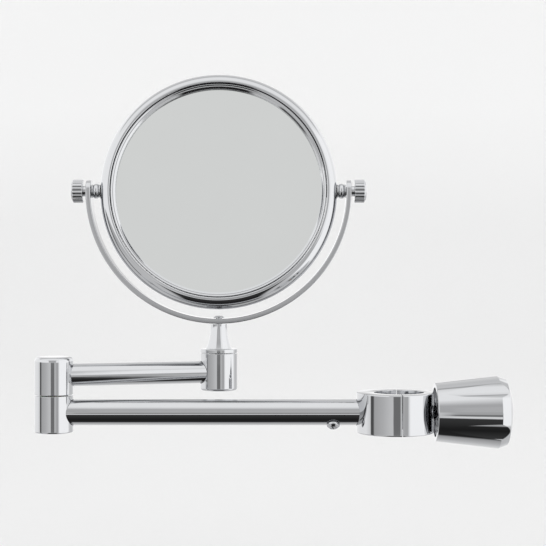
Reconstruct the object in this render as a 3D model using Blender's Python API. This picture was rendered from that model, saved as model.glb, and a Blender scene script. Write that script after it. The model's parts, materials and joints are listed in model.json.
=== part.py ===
"""Extendable shaving mirror for a vertical shower rail.

A split clamp grips the rail. A lower arm tube runs from the clamp to a stacked knuckle,
where an upper arm swings over it. The upper arm carries a swivel barrel, a waisted stem
and a half-ring yoke, and a two-sided round mirror tilts between two thumb knobs.
The origin is the centre of the clamp's bore at mid-height. +X points at the clamp knob,
+Z up, and the viewer of the plain glass stands at -Y. Each piece is its own object.
"""

from math import atan2, cos, pi, radians, sin, sqrt

import bmesh
import bpy
from mathutils import Matrix, Vector

MM = 0.001

# Gap between two pieces that touch, and radial gap of a rod in its hole.
FIT = 0.3 * MM

# Rail clamp.
CLAMP_HEIGHT = 25.0 * MM
CLAMP_RADIUS = 23.9 * MM
CLAMP_CENTRE_X = -2.5 * MM
CLAMP_CHAMFER = 0.7 * MM
BORE_RADIUS = 15.5 * MM
TONGUE_LENGTH = 8.9 * MM
TONGUE_THICKNESS = 4.4 * MM
TONGUE_MARGIN = 4.5 * MM
TONGUE_ROOT = 2.0 * MM
JAW_SCREW_SETBACK = 4.6 * MM
JAW_SCREW_RADIUS = 1.5 * MM
JAW_SCREW_HEAD_RADIUS = 2.7 * MM
JAW_SCREW_HEAD_HEIGHT = 2.4 * MM
JAW_SCREW_ROOF = 1.4 * MM

# Clamp screw, pad and knob.
SPINDLE_RADIUS = 4.0 * MM
SPINDLE_NOSE_RADIUS = 2.5 * MM
SPINDLE_NOSE_LENGTH = 2.2 * MM
PAD_THICKNESS = 3.0 * MM
PAD_WIDTH = 12.0 * MM
PAD_HEIGHT = 14.0 * MM
PAD_TRAVEL = 5.0 * MM
PAD_FACE_WALL = 0.8 * MM
JAW_END_WALL = 3.6 * MM
KNOB_GAP = 0.9 * MM
KNOB_RIM_RADIUS = 18.0 * MM
KNOB_SHOULDER_RADIUS = 22.4 * MM
KNOB_CORNER_RADIUS = 20.5 * MM
KNOB_CONE_LENGTH = 38.5 * MM
KNOB_BEVEL_LENGTH = 5.5 * MM
KNOB_DOME_RISE = 4.1 * MM
KNOB_HOLLOW_RADIUS = 15.2 * MM
KNOB_RECESS_DEPTH = 3.0 * MM
KNOB_HUB_RADIUS = 6.6 * MM
KNOB_WEB = 3.0 * MM
KNOB_SCREW_RADIUS = 2.0 * MM
KNOB_SCREW_HEAD_RADIUS = 3.6 * MM
KNOB_SCREW_HEAD_HEIGHT = 2.6 * MM
KNOB_SCREW_LENGTH = 13.0 * MM
KNOB_CAP_RADIUS = 17.0 * MM
KNOB_CAP_SEAT_DEPTH = 3.8 * MM
FLUTE_COUNT = 5
FLUTE_START_ANGLE = radians(28.0)
FLUTE_CUTTER_RADIUS = 13.0 * MM
FLUTE_DEPTH = 2.0 * MM
FLUTE_SETBACK = 5.5 * MM

# Lower arm.
LOWER_ARM_REACH = 214.0 * MM
LOWER_TUBE_RADIUS = 8.0 * MM
LOWER_TUBE_WALL = 1.5 * MM
CLAMP_SOCKET_DEPTH = 4.9 * MM
INSERT_LENGTH = 28.0 * MM
ARM_BOLT_RADIUS = 2.5 * MM
ARM_BOLT_HEAD_RADIUS = 4.0 * MM
ARM_BOLT_HEAD_HEIGHT = 2.6 * MM
ARM_BOLT_LENGTH = 17.0 * MM
FIXING_SCREW_SETBACK = 14.5 * MM
FIXING_SCREW_LEAN = radians(30.0)
FIXING_SCREW_RADIUS = 1.6 * MM
FIXING_SCREW_HEAD_RADIUS = 4.1 * MM
FIXING_SCREW_HEAD_HEIGHT = 2.6 * MM
RECESS_WIDTH = 1.0 * MM
RECESS_SPAN = 4.4 * MM
RECESS_DEPTH = 1.2 * MM

# Stacked knuckle.
KNUCKLE_RADIUS = 12.0 * MM
KNUCKLE_SOCKET_INSET = 6.8 * MM
LOWER_KNUCKLE_DROP = 12.3 * MM
LOWER_KNUCKLE_RISE = 10.6 * MM
KNUCKLE_SEAM = 0.6 * MM
UPPER_KNUCKLE_HEIGHT = 23.3 * MM
UPPER_KNUCKLE_ROUND = 3.0 * MM
EDGE_ROUND = 0.8 * MM
PIVOT_BOLT_RADIUS = 3.0 * MM
PIVOT_HEAD_RADIUS = 5.2 * MM
PIVOT_HEAD_HEIGHT = 2.2 * MM
PIVOT_RECESS_RADIUS = 6.3 * MM
PIVOT_PLUG_THICKNESS = 1.0 * MM
SPRING_WASHER_RADIUS = 5.8 * MM
SPRING_WASHER_THICKNESS = 0.8 * MM
FRICTION_WASHER_RADIUS = 8.7 * MM
FRICTION_WASHER_THICKNESS = 1.0 * MM
FRICTION_WASHER_PROUD = 0.3 * MM
PIVOT_BOLT_TOP_WALL = 6.5 * MM

# Upper arm and swivel barrel.
UPPER_ARM_REACH = 105.0 * MM
UPPER_ARM_SWING = radians(15.6)
UPPER_TUBE_RADIUS = 7.0 * MM
UPPER_TUBE_WALL = 1.2 * MM
UPPER_TUBE_RISE = 11.7 * MM
BARREL_RADIUS = 12.0 * MM
BARREL_HEIGHT = 23.8 * MM
BARREL_ROUND = 1.6 * MM
BARREL_SOCKET_INSET = 6.8 * MM
BARREL_RECESS_DEPTH = 5.8 * MM
BARREL_RECESS_RADIUS = 6.3 * MM
BARREL_FLOOR = 3.0 * MM
BARREL_PLUG_THICKNESS = 1.2 * MM
BUSH_WALL = 1.4 * MM
STEM_WASHER_THICKNESS = 1.0 * MM
STEM_SCREW_RADIUS = 2.5 * MM
STEM_SCREW_HEAD_RADIUS = 4.5 * MM
STEM_SCREW_HEAD_HEIGHT = 2.5 * MM
STEM_SCREW_LENGTH = 14.0 * MM

# Stem and yoke.
SPIGOT_RADIUS = 4.0 * MM
STEM_FLANGE_RADIUS = 12.0 * MM
STEM_FLANGE_THICKNESS = 2.6 * MM
STEM_HEIGHT = 15.8 * MM
STEM_FOOT_RADIUS = 8.15 * MM
STEM_TOP_RADIUS = 5.2 * MM
YOKE_OUTER_RADIUS = 84.9 * MM
YOKE_THICKNESS = 3.2 * MM
YOKE_WIDTH = 14.0 * MM
YOKE_CHAMFER = 0.5 * MM
YOKE_SWIVEL = -UPPER_ARM_SWING
YOKE_SCREW_RADIUS = 2.0 * MM
YOKE_SCREW_HEAD_RADIUS = 3.5 * MM
YOKE_SCREW_HEAD_HEIGHT = 1.6 * MM
YOKE_SCREW_LENGTH = 12.0 * MM

# Mirror.
MIRROR_TILT = radians(-7.0)
FRAME_RADIUS = 76.2 * MM
FRAME_BORE_RADIUS = 69.3 * MM
FRAME_THICKNESS = 17.0 * MM
FRAME_INNER_ROUND = 0.6 * MM
GLASS_THICKNESS = 3.0 * MM
BACKING_THICKNESS = 1.6 * MM
BEZEL_INNER_RADIUS = 65.8 * MM
BEZEL_THICKNESS = 3.2 * MM
BEZEL_ROUND = 0.9 * MM
MAGNIFIER_SAG = 0.9 * MM

# Tilt pivots and thumb knobs.
STUD_RADIUS = 2.5 * MM
STUD_GRIP_LENGTH = 8.0 * MM
PIVOT_INSERT_RADIUS = 3.8 * MM
SPOT_FACE_RADIUS = 5.2 * MM
SPOT_FACE_DEPTH = 0.6 * MM
SPACER_COLLAR_RADIUS = 4.3 * MM
SPACER_COLLAR_LENGTH = 0.7 * MM
SPACER_BALL_RADIUS = 4.9 * MM
THUMB_NECK_RADIUS = 3.4 * MM
THUMB_NECK_LENGTH = 1.7 * MM
THUMB_RADIUS = 7.45 * MM
THUMB_GRIP_LENGTH = 6.7 * MM
THUMB_DOME_RISE = 1.6 * MM
THUMB_CHAMFER = 0.5 * MM
THUMB_RIB_DEPTH = 0.4 * MM
THUMB_RIBS = 18

# Heights and lengths that follow from the sizes above.
CLAMP_LEFT_X = CLAMP_CENTRE_X - CLAMP_RADIUS
CLAMP_RIGHT_X = CLAMP_CENTRE_X + CLAMP_RADIUS
CLAMP_SOCKET_FLOOR_X = CLAMP_LEFT_X + CLAMP_SOCKET_DEPTH
CLAMP_SIDE_Y = sqrt(CLAMP_RADIUS**2 - CLAMP_CENTRE_X**2)
JAW_SCREW_Y = (BORE_RADIUS + CLAMP_SIDE_Y) / 2
UPPER_BASE_Z = LOWER_KNUCKLE_RISE + KNUCKLE_SEAM
UPPER_TUBE_Z = UPPER_BASE_Z + UPPER_TUBE_RISE
BARREL_TOP_Z = UPPER_BASE_Z + BARREL_HEIGHT
STEM_BASE_Z = BARREL_TOP_Z + FIT
STEM_TOP_Z = STEM_BASE_Z + STEM_FLANGE_THICKNESS + STEM_HEIGHT
TILT_AXIS_Z = STEM_TOP_Z + FIT + YOKE_OUTER_RADIUS
YOKE_INNER_RADIUS = YOKE_OUTER_RADIUS - YOKE_THICKNESS
SPOT_FACE_X = FRAME_RADIUS - SPOT_FACE_DEPTH
KNOB_RIM_X = CLAMP_RIGHT_X + KNOB_GAP
PAD_RETRACTED_BACK_X = CLAMP_RIGHT_X - JAW_END_WALL - FIT
PAD_BACK_X = PAD_RETRACTED_BACK_X - PAD_TRAVEL
PAD_FRONT_X = PAD_BACK_X - PAD_THICKNESS

# Colours (linear RGB), roughness and metallic value of each material.
LOOKS = {
    "chrome": ((0.62, 0.62, 0.63), 0.06, 1.0),
    "steel": ((0.50, 0.50, 0.50), 0.30, 1.0),
    "glass": ((0.62, 0.63, 0.64), 0.02, 1.0),
    "nylon": ((0.80, 0.79, 0.76), 0.50, 0.0),
    "acetal": ((0.03, 0.03, 0.03), 0.45, 0.0),
    "brass": ((0.60, 0.45, 0.20), 0.30, 1.0),
    "fibre": ((0.18, 0.16, 0.13), 0.80, 0.0),
}

AROUND_RING = 60
AROUND_LARGE = 36
AROUND = 24
AROUND_SMALL = 16


def material(name, look):
    colour, roughness, metallic = LOOKS[look]
    made = bpy.data.materials.new(name)
    made.use_nodes = True
    shader = made.node_tree.nodes["Principled BSDF"]
    shader.inputs["Base Color"].default_value = (*colour, 1.0)
    shader.inputs["Roughness"].default_value = roughness
    shader.inputs["Metallic"].default_value = metallic
    made.diffuse_color = (*colour, 1.0)
    return made


def empty(name, location, rotation=(0.0, 0.0, 0.0), parent=None):
    """A marker on a joint's axis that carries the pieces which move with it."""
    made = bpy.data.objects.new(name, None)
    made.empty_display_size = 0.01
    made.location = location
    made.rotation_euler = rotation
    made.parent = parent
    bpy.context.scene.collection.objects.link(made)
    return made


def finish(shape, name, look, parent=None, location=(0, 0, 0), rotation=(0, 0, 0)):
    """Turns a bmesh into a named object, shaded smooth with sharp edges kept."""
    bmesh.ops.recalc_face_normals(shape, faces=shape.faces)
    mesh = bpy.data.meshes.new(name)
    shape.to_mesh(mesh)
    shape.free()
    mesh.shade_smooth()
    mesh.set_sharp_from_angle(angle=radians(35.0))
    made = bpy.data.objects.new(name, mesh)
    made.location = location
    made.rotation_euler = rotation
    made.parent = parent
    bpy.context.scene.collection.objects.link(made)
    if look:
        mesh.materials.append(material(name, look))
    else:
        made.hide_render = True
        made.display_type = "WIRE"
    return made


def spin_outline(outline, around):
    """Spins an outline of (radius, height) points about Z into a closed body."""
    shape = bmesh.new()
    points = [shape.verts.new((radius, 0.0, height)) for radius, height in outline]
    edges = []
    for start, end in zip(points, points[1:] + points[:1]):
        if max(start.co.x, end.co.x) > 1e-7:
            edges.append(shape.edges.new((start, end)))
    bmesh.ops.spin(
        shape,
        geom=points + edges,
        axis=(0, 0, 1),
        cent=(0, 0, 0),
        angle=2 * pi,
        steps=around,
        use_merge=True,
    )
    bmesh.ops.remove_doubles(shape, verts=shape.verts, dist=1e-7)
    return shape


def turned(name, look, outline, around, **place):
    return finish(spin_outline(outline, around), name, look, **place)


def disc_outline(radius, low, high, hole=0.0, edge=0.0):
    """Outline of a disc or ring, with both outer edges chamfered by edge."""
    points = [(hole, low), (radius - edge, low)]
    if edge:
        points += [(radius, low + edge), (radius, high - edge)]
    return points + [(radius - edge, high), (hole, high)]


def screw_outline(head_radius, head_height, shank_radius, length):
    """Outline of a screw: its shank runs down from 0 and its head stands on 0."""
    crown = head_height / 3
    return [
        (0.0, -length),
        (shank_radius, -length),
        (shank_radius, 0.0),
        (head_radius, 0.0),
        (head_radius, head_height - crown),
        (head_radius - crown, head_height),
        (0.0, head_height),
    ]


def block(name, look, low, high, edge=0.0, **place):
    """A box between two corners, with all its edges bevelled by edge."""
    shape = bmesh.new()
    middle = (Vector(low) + Vector(high)) / 2
    size = Vector(high) - Vector(low)
    bmesh.ops.create_cube(
        shape, size=1.0, matrix=Matrix.Translation(middle) @ Matrix.Diagonal((*size, 1))
    )
    if edge:
        bmesh.ops.bevel(
            shape, geom=shape.edges[:], offset=edge, segments=1, affect="EDGES"
        )
    return finish(shape, name, look, **place)


def rod_cutter(name, radius, low, high, around=AROUND, **place):
    return turned(name, None, disc_outline(radius, low, high), around, **place)


def cut(target, *cutters, solver="EXACT"):
    for cutter in cutters:
        step = target.modifiers.new("cut " + cutter.name, "BOOLEAN")
        step.operation = "DIFFERENCE"
        step.solver = solver
        step.object = cutter


def weld(target, *others, solver="EXACT"):
    for other in others:
        step = target.modifiers.new("weld " + other.name, "BOOLEAN")
        step.operation = "UNION"
        step.solver = solver
        step.object = other


# Local Z along +X, along -X and towards the viewer.
ALONG_X = (0.0, pi / 2, 0.0)
AGAINST_X = (0.0, -pi / 2, 0.0)
TO_VIEWER = (pi / 2, 0.0, 0.0)


def clamp_blank(name):
    outline = disc_outline(
        CLAMP_RADIUS, -CLAMP_HEIGHT / 2, CLAMP_HEIGHT / 2, edge=CLAMP_CHAMFER
    )
    return turned(name, "chrome", outline, AROUND_LARGE, location=(CLAMP_CENTRE_X, 0, 0))


def build_clamp():
    """The split ring: its left half takes the arm, its right half the screw."""
    body = clamp_blank("clamp_body")
    jaw = clamp_blank("clamp_jaw")
    top = CLAMP_HEIGHT / 2
    far = 2 * CLAMP_RADIUS
    bore = rod_cutter("cut_bore", BORE_RADIUS, -CLAMP_HEIGHT, CLAMP_HEIGHT, AROUND_LARGE)
    right_side = block("cut_right_side", None, (-FIT / 2, -far, -far), (far, far, far))
    left_side = block("cut_left_side", None, (-far, -far, -far), (FIT / 2, far, far))
    closed = {"solver": "MANIFOLD"}
    cut(body, bore, right_side, **closed)
    cut(jaw, bore, left_side, **closed)
    reach = top - TONGUE_MARGIN
    half = TONGUE_THICKNESS / 2
    for side, sign in (("front", -1), ("rear", 1)):
        near_y = sign * JAW_SCREW_Y - half
        far_y = sign * JAW_SCREW_Y + half
        tongue = block(
            "tongue_" + side, None, (-TONGUE_LENGTH, near_y, -reach), (TONGUE_ROOT, far_y, reach)
        )
        pocket = block(
            "cut_tongue_pocket_" + side,
            None,
            (-TONGUE_LENGTH - FIT, near_y - FIT, -reach - FIT),
            (FIT, far_y + FIT, reach + FIT),
        )
        place = {"location": (-JAW_SCREW_SETBACK, sign * JAW_SCREW_Y, 0)}
        seat = -top + JAW_SCREW_HEAD_HEIGHT + 2 * FIT
        hole_top = top - JAW_SCREW_ROOF
        hole = rod_cutter(
            "cut_screw_hole_" + side,
            JAW_SCREW_RADIUS + FIT,
            -CLAMP_HEIGHT,
            hole_top,
            AROUND_SMALL,
            **place,
        )
        counterbore = rod_cutter(
            "cut_screw_head_" + side,
            JAW_SCREW_HEAD_RADIUS + FIT,
            -CLAMP_HEIGHT,
            seat,
            AROUND_SMALL,
            **place,
        )
        weld(jaw, tongue, **closed)
        cut(jaw, hole, **closed)
        cut(body, pocket, hole, counterbore, **closed)
        outline = screw_outline(
            JAW_SCREW_HEAD_RADIUS,
            JAW_SCREW_HEAD_HEIGHT,
            JAW_SCREW_RADIUS,
            hole_top - FIT - (seat - FIT),
        )
        turned(
            "jaw_screw_" + side,
            "steel",
            outline,
            AROUND_SMALL,
            location=(-JAW_SCREW_SETBACK, sign * JAW_SCREW_Y, seat - FIT),
            rotation=(pi, 0, 0),
        )
    socket = rod_cutter(
        "cut_clamp_socket",
        LOWER_TUBE_RADIUS + FIT,
        -2 * far,
        CLAMP_SOCKET_FLOOR_X,
        rotation=ALONG_X,
    )
    bolt_hole = rod_cutter(
        "cut_arm_bolt", ARM_BOLT_RADIUS + FIT, -far, 0.0, rotation=ALONG_X
    )
    bolt_seat_x = -BORE_RADIUS - ARM_BOLT_HEAD_HEIGHT - 2 * FIT
    bolt_seat = rod_cutter(
        "cut_arm_bolt_head",
        ARM_BOLT_HEAD_RADIUS + FIT,
        bolt_seat_x,
        0.0,
        rotation=ALONG_X,
    )
    cut(body, socket, bolt_hole, bolt_seat, **closed)
    turned(
        "arm_bolt",
        "steel",
        screw_outline(
            ARM_BOLT_HEAD_RADIUS, ARM_BOLT_HEAD_HEIGHT, ARM_BOLT_RADIUS, ARM_BOLT_LENGTH
        ),
        AROUND,
        location=(bolt_seat_x + FIT, 0, 0),
        rotation=ALONG_X,
    )
    pad_pocket = block(
        "cut_pad_pocket",
        None,
        (0.0, -PAD_WIDTH / 2 - FIT, -PAD_HEIGHT / 2 - FIT),
        (PAD_RETRACTED_BACK_X + FIT, PAD_WIDTH / 2 + FIT, PAD_HEIGHT / 2 + FIT),
    )
    spindle_hole = rod_cutter(
        "cut_spindle_hole", SPINDLE_RADIUS + FIT, 0.0, far, rotation=ALONG_X
    )
    cut(jaw, pad_pocket, spindle_hole, **closed)
    return bolt_seat_x + FIT


def build_lower_arm(bolt_x):
    """The long tube, the insert that anchors it and the screw that pins the insert."""
    right_x = CLAMP_SOCKET_FLOOR_X - FIT
    left_x = -LOWER_ARM_REACH + KNUCKLE_SOCKET_INSET + FIT
    bore = LOWER_TUBE_RADIUS - LOWER_TUBE_WALL
    tube = turned(
        "lower_arm_tube",
        "chrome",
        disc_outline(LOWER_TUBE_RADIUS, left_x, right_x, hole=bore),
        AROUND,
        rotation=ALONG_X,
    )
    bolt_end = bolt_x - ARM_BOLT_LENGTH
    insert = turned(
        "arm_insert",
        "brass",
        [
            (0.0, right_x - INSERT_LENGTH),
            (bore - FIT, right_x - INSERT_LENGTH),
            (bore - FIT, right_x),
            (ARM_BOLT_RADIUS + FIT, right_x),
            (ARM_BOLT_RADIUS + FIT, bolt_end - FIT),
            (0.0, bolt_end - FIT),
        ],
        AROUND,
        rotation=ALONG_X,
    )
    screw_x = CLAMP_LEFT_X - FIXING_SCREW_SETBACK
    lean = (pi - FIXING_SCREW_LEAN, 0, 0)
    length = LOWER_TUBE_RADIUS + FIT + 1.0 * MM
    hole = rod_cutter(
        "cut_fixing_screw",
        FIXING_SCREW_RADIUS + FIT,
        -1.3 * MM,
        2 * LOWER_TUBE_RADIUS,
        AROUND_SMALL,
        location=(screw_x, 0, 0),
        rotation=lean,
    )
    cut(tube, hole)
    cut(insert, hole)
    holder = empty("fixing_screw_axis", (screw_x, 0, 0), lean)
    screw = turned(
        "arm_fixing_screw",
        "steel",
        screw_outline(
            FIXING_SCREW_HEAD_RADIUS,
            FIXING_SCREW_HEAD_HEIGHT,
            FIXING_SCREW_RADIUS,
            length,
        ),
        AROUND_SMALL,
        parent=holder,
        location=(0, 0, LOWER_TUBE_RADIUS + FIT),
    )
    top = LOWER_TUBE_RADIUS + FIT + FIXING_SCREW_HEAD_HEIGHT
    for index in range(2):
        half = (RECESS_SPAN / 2, RECESS_WIDTH / 2)
        half_x, half_y = half if index == 0 else half[::-1]
        slot = block(
            f"cut_cross_recess_{index}",
            None,
            (-half_x, -half_y, top - RECESS_DEPTH),
            (half_x, half_y, top + RECESS_DEPTH),
            parent=holder,
            rotation=(0, 0, radians(45.0)),
        )
        cut(screw, slot)


def socket_cutter(name, radius, inset, height, heading=0.0, parent=None):
    """A level hole that starts inset from a knuckle's axis and runs out of it."""
    return rod_cutter(
        name,
        radius + FIT,
        inset,
        4 * KNUCKLE_RADIUS,
        location=(0, 0, height),
        rotation=(0, pi / 2, heading),
        parent=parent,
    )


def build_lower_knuckle(axis):
    """The fixed half of the stacked knuckle, with the recess for the bolt's head."""
    hole = PIVOT_BOLT_RADIUS + FIT
    stack = SPRING_WASHER_THICKNESS + PIVOT_HEAD_HEIGHT + PIVOT_PLUG_THICKNESS
    bottom = -LOWER_KNUCKLE_DROP
    ceiling = bottom + stack + 3 * FIT
    washer_seat = (
        LOWER_KNUCKLE_RISE + FRICTION_WASHER_PROUD - FRICTION_WASHER_THICKNESS - FIT
    )
    knuckle = turned(
        "lower_knuckle",
        "chrome",
        [
            (PIVOT_RECESS_RADIUS, bottom),
            (KNUCKLE_RADIUS - EDGE_ROUND, bottom),
            (KNUCKLE_RADIUS, bottom + EDGE_ROUND),
            (KNUCKLE_RADIUS, LOWER_KNUCKLE_RISE - EDGE_ROUND / 3),
            (KNUCKLE_RADIUS - EDGE_ROUND / 3, LOWER_KNUCKLE_RISE),
            (FRICTION_WASHER_RADIUS + FIT, LOWER_KNUCKLE_RISE),
            (FRICTION_WASHER_RADIUS + FIT, washer_seat),
            (hole, washer_seat),
            (hole, ceiling),
            (PIVOT_RECESS_RADIUS, ceiling),
        ],
        AROUND_LARGE,
        parent=axis,
    )
    cut(
        knuckle,
        socket_cutter(
            "cut_lower_socket", LOWER_TUBE_RADIUS, KNUCKLE_SOCKET_INSET, 0.0, parent=axis
        ),
    )
    turned(
        "pivot_friction_washer",
        "nylon",
        disc_outline(
            FRICTION_WASHER_RADIUS,
            washer_seat + FIT,
            washer_seat + FIT + FRICTION_WASHER_THICKNESS,
            hole=hole,
        ),
        AROUND,
        parent=axis,
    )
    turned(
        "pivot_spring_washer",
        "steel",
        disc_outline(
            SPRING_WASHER_RADIUS,
            ceiling - FIT - SPRING_WASHER_THICKNESS,
            ceiling - FIT,
            hole=hole,
        ),
        AROUND,
        parent=axis,
    )
    turned(
        "pivot_plug",
        "chrome",
        disc_outline(
            PIVOT_RECESS_RADIUS - FIT, bottom, bottom + PIVOT_PLUG_THICKNESS
        ),
        AROUND,
        parent=axis,
    )
    return ceiling - 2 * FIT - SPRING_WASHER_THICKNESS


def build_upper_arm(arm, head_top):
    """The swinging arm: knuckle, bolt, tube and the barrel that carries the stem."""
    top = UPPER_BASE_Z + UPPER_KNUCKLE_HEIGHT
    bolt_top = top - PIVOT_BOLT_TOP_WALL
    outline = [
        (PIVOT_BOLT_RADIUS + FIT, bolt_top + FIT),
        (PIVOT_BOLT_RADIUS + FIT, UPPER_BASE_Z),
        (KNUCKLE_RADIUS - EDGE_ROUND / 3, UPPER_BASE_Z),
        (KNUCKLE_RADIUS, UPPER_BASE_Z + EDGE_ROUND / 3),
    ]
    for step in range(4):
        angle = step * pi / 6
        outline.append(
            (
                KNUCKLE_RADIUS - UPPER_KNUCKLE_ROUND * (1 - cos(angle)),
                top - UPPER_KNUCKLE_ROUND * (1 - sin(angle)),
            )
        )
    outline += [(0.0, top), (0.0, bolt_top + FIT)]
    knuckle = turned("upper_knuckle", "chrome", outline, AROUND_LARGE, parent=arm)
    cut(
        knuckle,
        socket_cutter(
            "cut_upper_socket",
            UPPER_TUBE_RADIUS,
            KNUCKLE_SOCKET_INSET,
            UPPER_TUBE_Z,
            parent=arm,
        ),
    )
    turned(
        "pivot_bolt",
        "steel",
        screw_outline(
            PIVOT_HEAD_RADIUS, PIVOT_HEAD_HEIGHT, PIVOT_BOLT_RADIUS, bolt_top - head_top
        ),
        AROUND,
        parent=arm,
        location=(0, 0, head_top),
        rotation=(pi, 0, 0),
    )
    turned(
        "upper_arm_tube",
        "chrome",
        disc_outline(
            UPPER_TUBE_RADIUS,
            KNUCKLE_SOCKET_INSET + FIT,
            UPPER_ARM_REACH - BARREL_SOCKET_INSET - FIT,
            hole=UPPER_TUBE_RADIUS - UPPER_TUBE_WALL,
        ),
        AROUND,
        parent=arm,
        location=(0, 0, UPPER_TUBE_Z),
        rotation=ALONG_X,
    )
    bush_radius = SPIGOT_RADIUS + FIT + BUSH_WALL
    floor_low = BARREL_RECESS_DEPTH
    floor_high = floor_low + BARREL_FLOOR
    outline = [
        (bush_radius + FIT, BARREL_HEIGHT),
        (bush_radius + FIT, floor_high),
        (STEM_SCREW_RADIUS + FIT, floor_high),
        (STEM_SCREW_RADIUS + FIT, floor_low),
        (BARREL_RECESS_RADIUS, floor_low),
        (BARREL_RECESS_RADIUS, 0.0),
    ]
    for step in range(4):
        angle = step * pi / 6
        outline.append(
            (
                BARREL_RADIUS - BARREL_ROUND * (1 - sin(angle)),
                BARREL_ROUND * (1 - cos(angle)),
            )
        )
    outline += [
        (BARREL_RADIUS, BARREL_HEIGHT - EDGE_ROUND / 3),
        (BARREL_RADIUS - EDGE_ROUND / 3, BARREL_HEIGHT),
    ]
    place = {"parent": arm, "location": (UPPER_ARM_REACH, 0, UPPER_BASE_Z)}
    barrel = turned("swivel_barrel", "chrome", outline, AROUND_LARGE, **place)
    cutter = rod_cutter(
        "cut_barrel_socket",
        UPPER_TUBE_RADIUS + FIT,
        BARREL_SOCKET_INSET,
        4 * BARREL_RADIUS,
        location=(UPPER_ARM_REACH, 0, UPPER_TUBE_Z),
        rotation=AGAINST_X,
        parent=arm,
    )
    cut(barrel, cutter)
    turned(
        "swivel_bush",
        "nylon",
        disc_outline(
            bush_radius, floor_high + FIT, BARREL_HEIGHT - FIT, hole=SPIGOT_RADIUS + FIT
        ),
        AROUND,
        **place,
    )
    turned(
        "barrel_plug",
        "chrome",
        disc_outline(BARREL_RECESS_RADIUS - FIT, 0.0, BARREL_PLUG_THICKNESS),
        AROUND,
        **place,
    )


def build_stem(swivel):
    """The waisted stem: its spigot turns in the barrel's bush."""
    floor_low = UPPER_BASE_Z + BARREL_RECESS_DEPTH
    spigot_end = floor_low + BARREL_FLOOR + FIT
    screw_seat = floor_low - 2 * FIT - STEM_WASHER_THICKNESS
    screw_top = screw_seat + STEM_SCREW_LENGTH
    foot = STEM_BASE_Z + STEM_FLANGE_THICKNESS
    edge = EDGE_ROUND / 2
    outline = [
        (0.0, screw_top + FIT),
        (STEM_SCREW_RADIUS + FIT, screw_top + FIT),
        (STEM_SCREW_RADIUS + FIT, spigot_end),
        (SPIGOT_RADIUS, spigot_end),
        (SPIGOT_RADIUS, STEM_BASE_Z),
        (STEM_FLANGE_RADIUS - edge, STEM_BASE_Z),
        (STEM_FLANGE_RADIUS, STEM_BASE_Z + edge),
        (STEM_FLANGE_RADIUS, foot - edge),
        (STEM_FLANGE_RADIUS - edge, foot),
    ]
    steps = 6
    for step in range(steps + 1):
        share = step / steps
        waist = STEM_TOP_RADIUS + (STEM_FOOT_RADIUS - STEM_TOP_RADIUS) * (1 - share) ** 2
        outline.append((waist, foot + STEM_HEIGHT * share))
    yoke_floor = STEM_TOP_Z + FIT + YOKE_THICKNESS
    yoke_screw_seat = yoke_floor + FIT
    hole_end = yoke_screw_seat - YOKE_SCREW_LENGTH - FIT
    outline += [
        (YOKE_SCREW_RADIUS + FIT, STEM_TOP_Z),
        (YOKE_SCREW_RADIUS + FIT, hole_end),
        (0.0, hole_end),
    ]
    turned("stem", "chrome", outline, AROUND, parent=swivel)
    turned(
        "stem_washer",
        "nylon",
        disc_outline(
            BARREL_RECESS_RADIUS - FIT,
            screw_seat + FIT,
            screw_seat + FIT + STEM_WASHER_THICKNESS,
            hole=STEM_SCREW_RADIUS + FIT,
        ),
        AROUND,
        parent=swivel,
    )
    turned(
        "stem_screw",
        "steel",
        screw_outline(
            STEM_SCREW_HEAD_RADIUS,
            STEM_SCREW_HEAD_HEIGHT,
            STEM_SCREW_RADIUS,
            STEM_SCREW_LENGTH,
        ),
        AROUND,
        parent=swivel,
        location=(0, 0, screw_seat),
        rotation=(pi, 0, 0),
    )
    turned(
        "yoke_screw",
        "steel",
        screw_outline(
            YOKE_SCREW_HEAD_RADIUS,
            YOKE_SCREW_HEAD_HEIGHT,
            YOKE_SCREW_RADIUS,
            YOKE_SCREW_LENGTH,
        ),
        AROUND_SMALL,
        parent=swivel,
        location=(0, 0, yoke_screw_seat),
    )


def yoke_stations():
    """Centre, outward normal and half width of the strip along the half ring."""
    middle = YOKE_OUTER_RADIUS - YOKE_THICKNESS / 2
    half = YOKE_WIDTH / 2
    end = [(half * sin(angle), half * cos(angle)) for angle in (1.35, 1.0, 0.65, 0.32)]
    stations = [((-middle, rise), (-1.0, 0.0), width) for rise, width in end]
    steps = 30
    for step in range(steps + 1):
        angle = pi + pi * step / steps
        normal = (cos(angle), sin(angle))
        stations.append(((middle * normal[0], middle * normal[1]), normal, half))
    stations += [((middle, rise), (1.0, 0.0), width) for rise, width in reversed(end)]
    return stations


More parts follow.
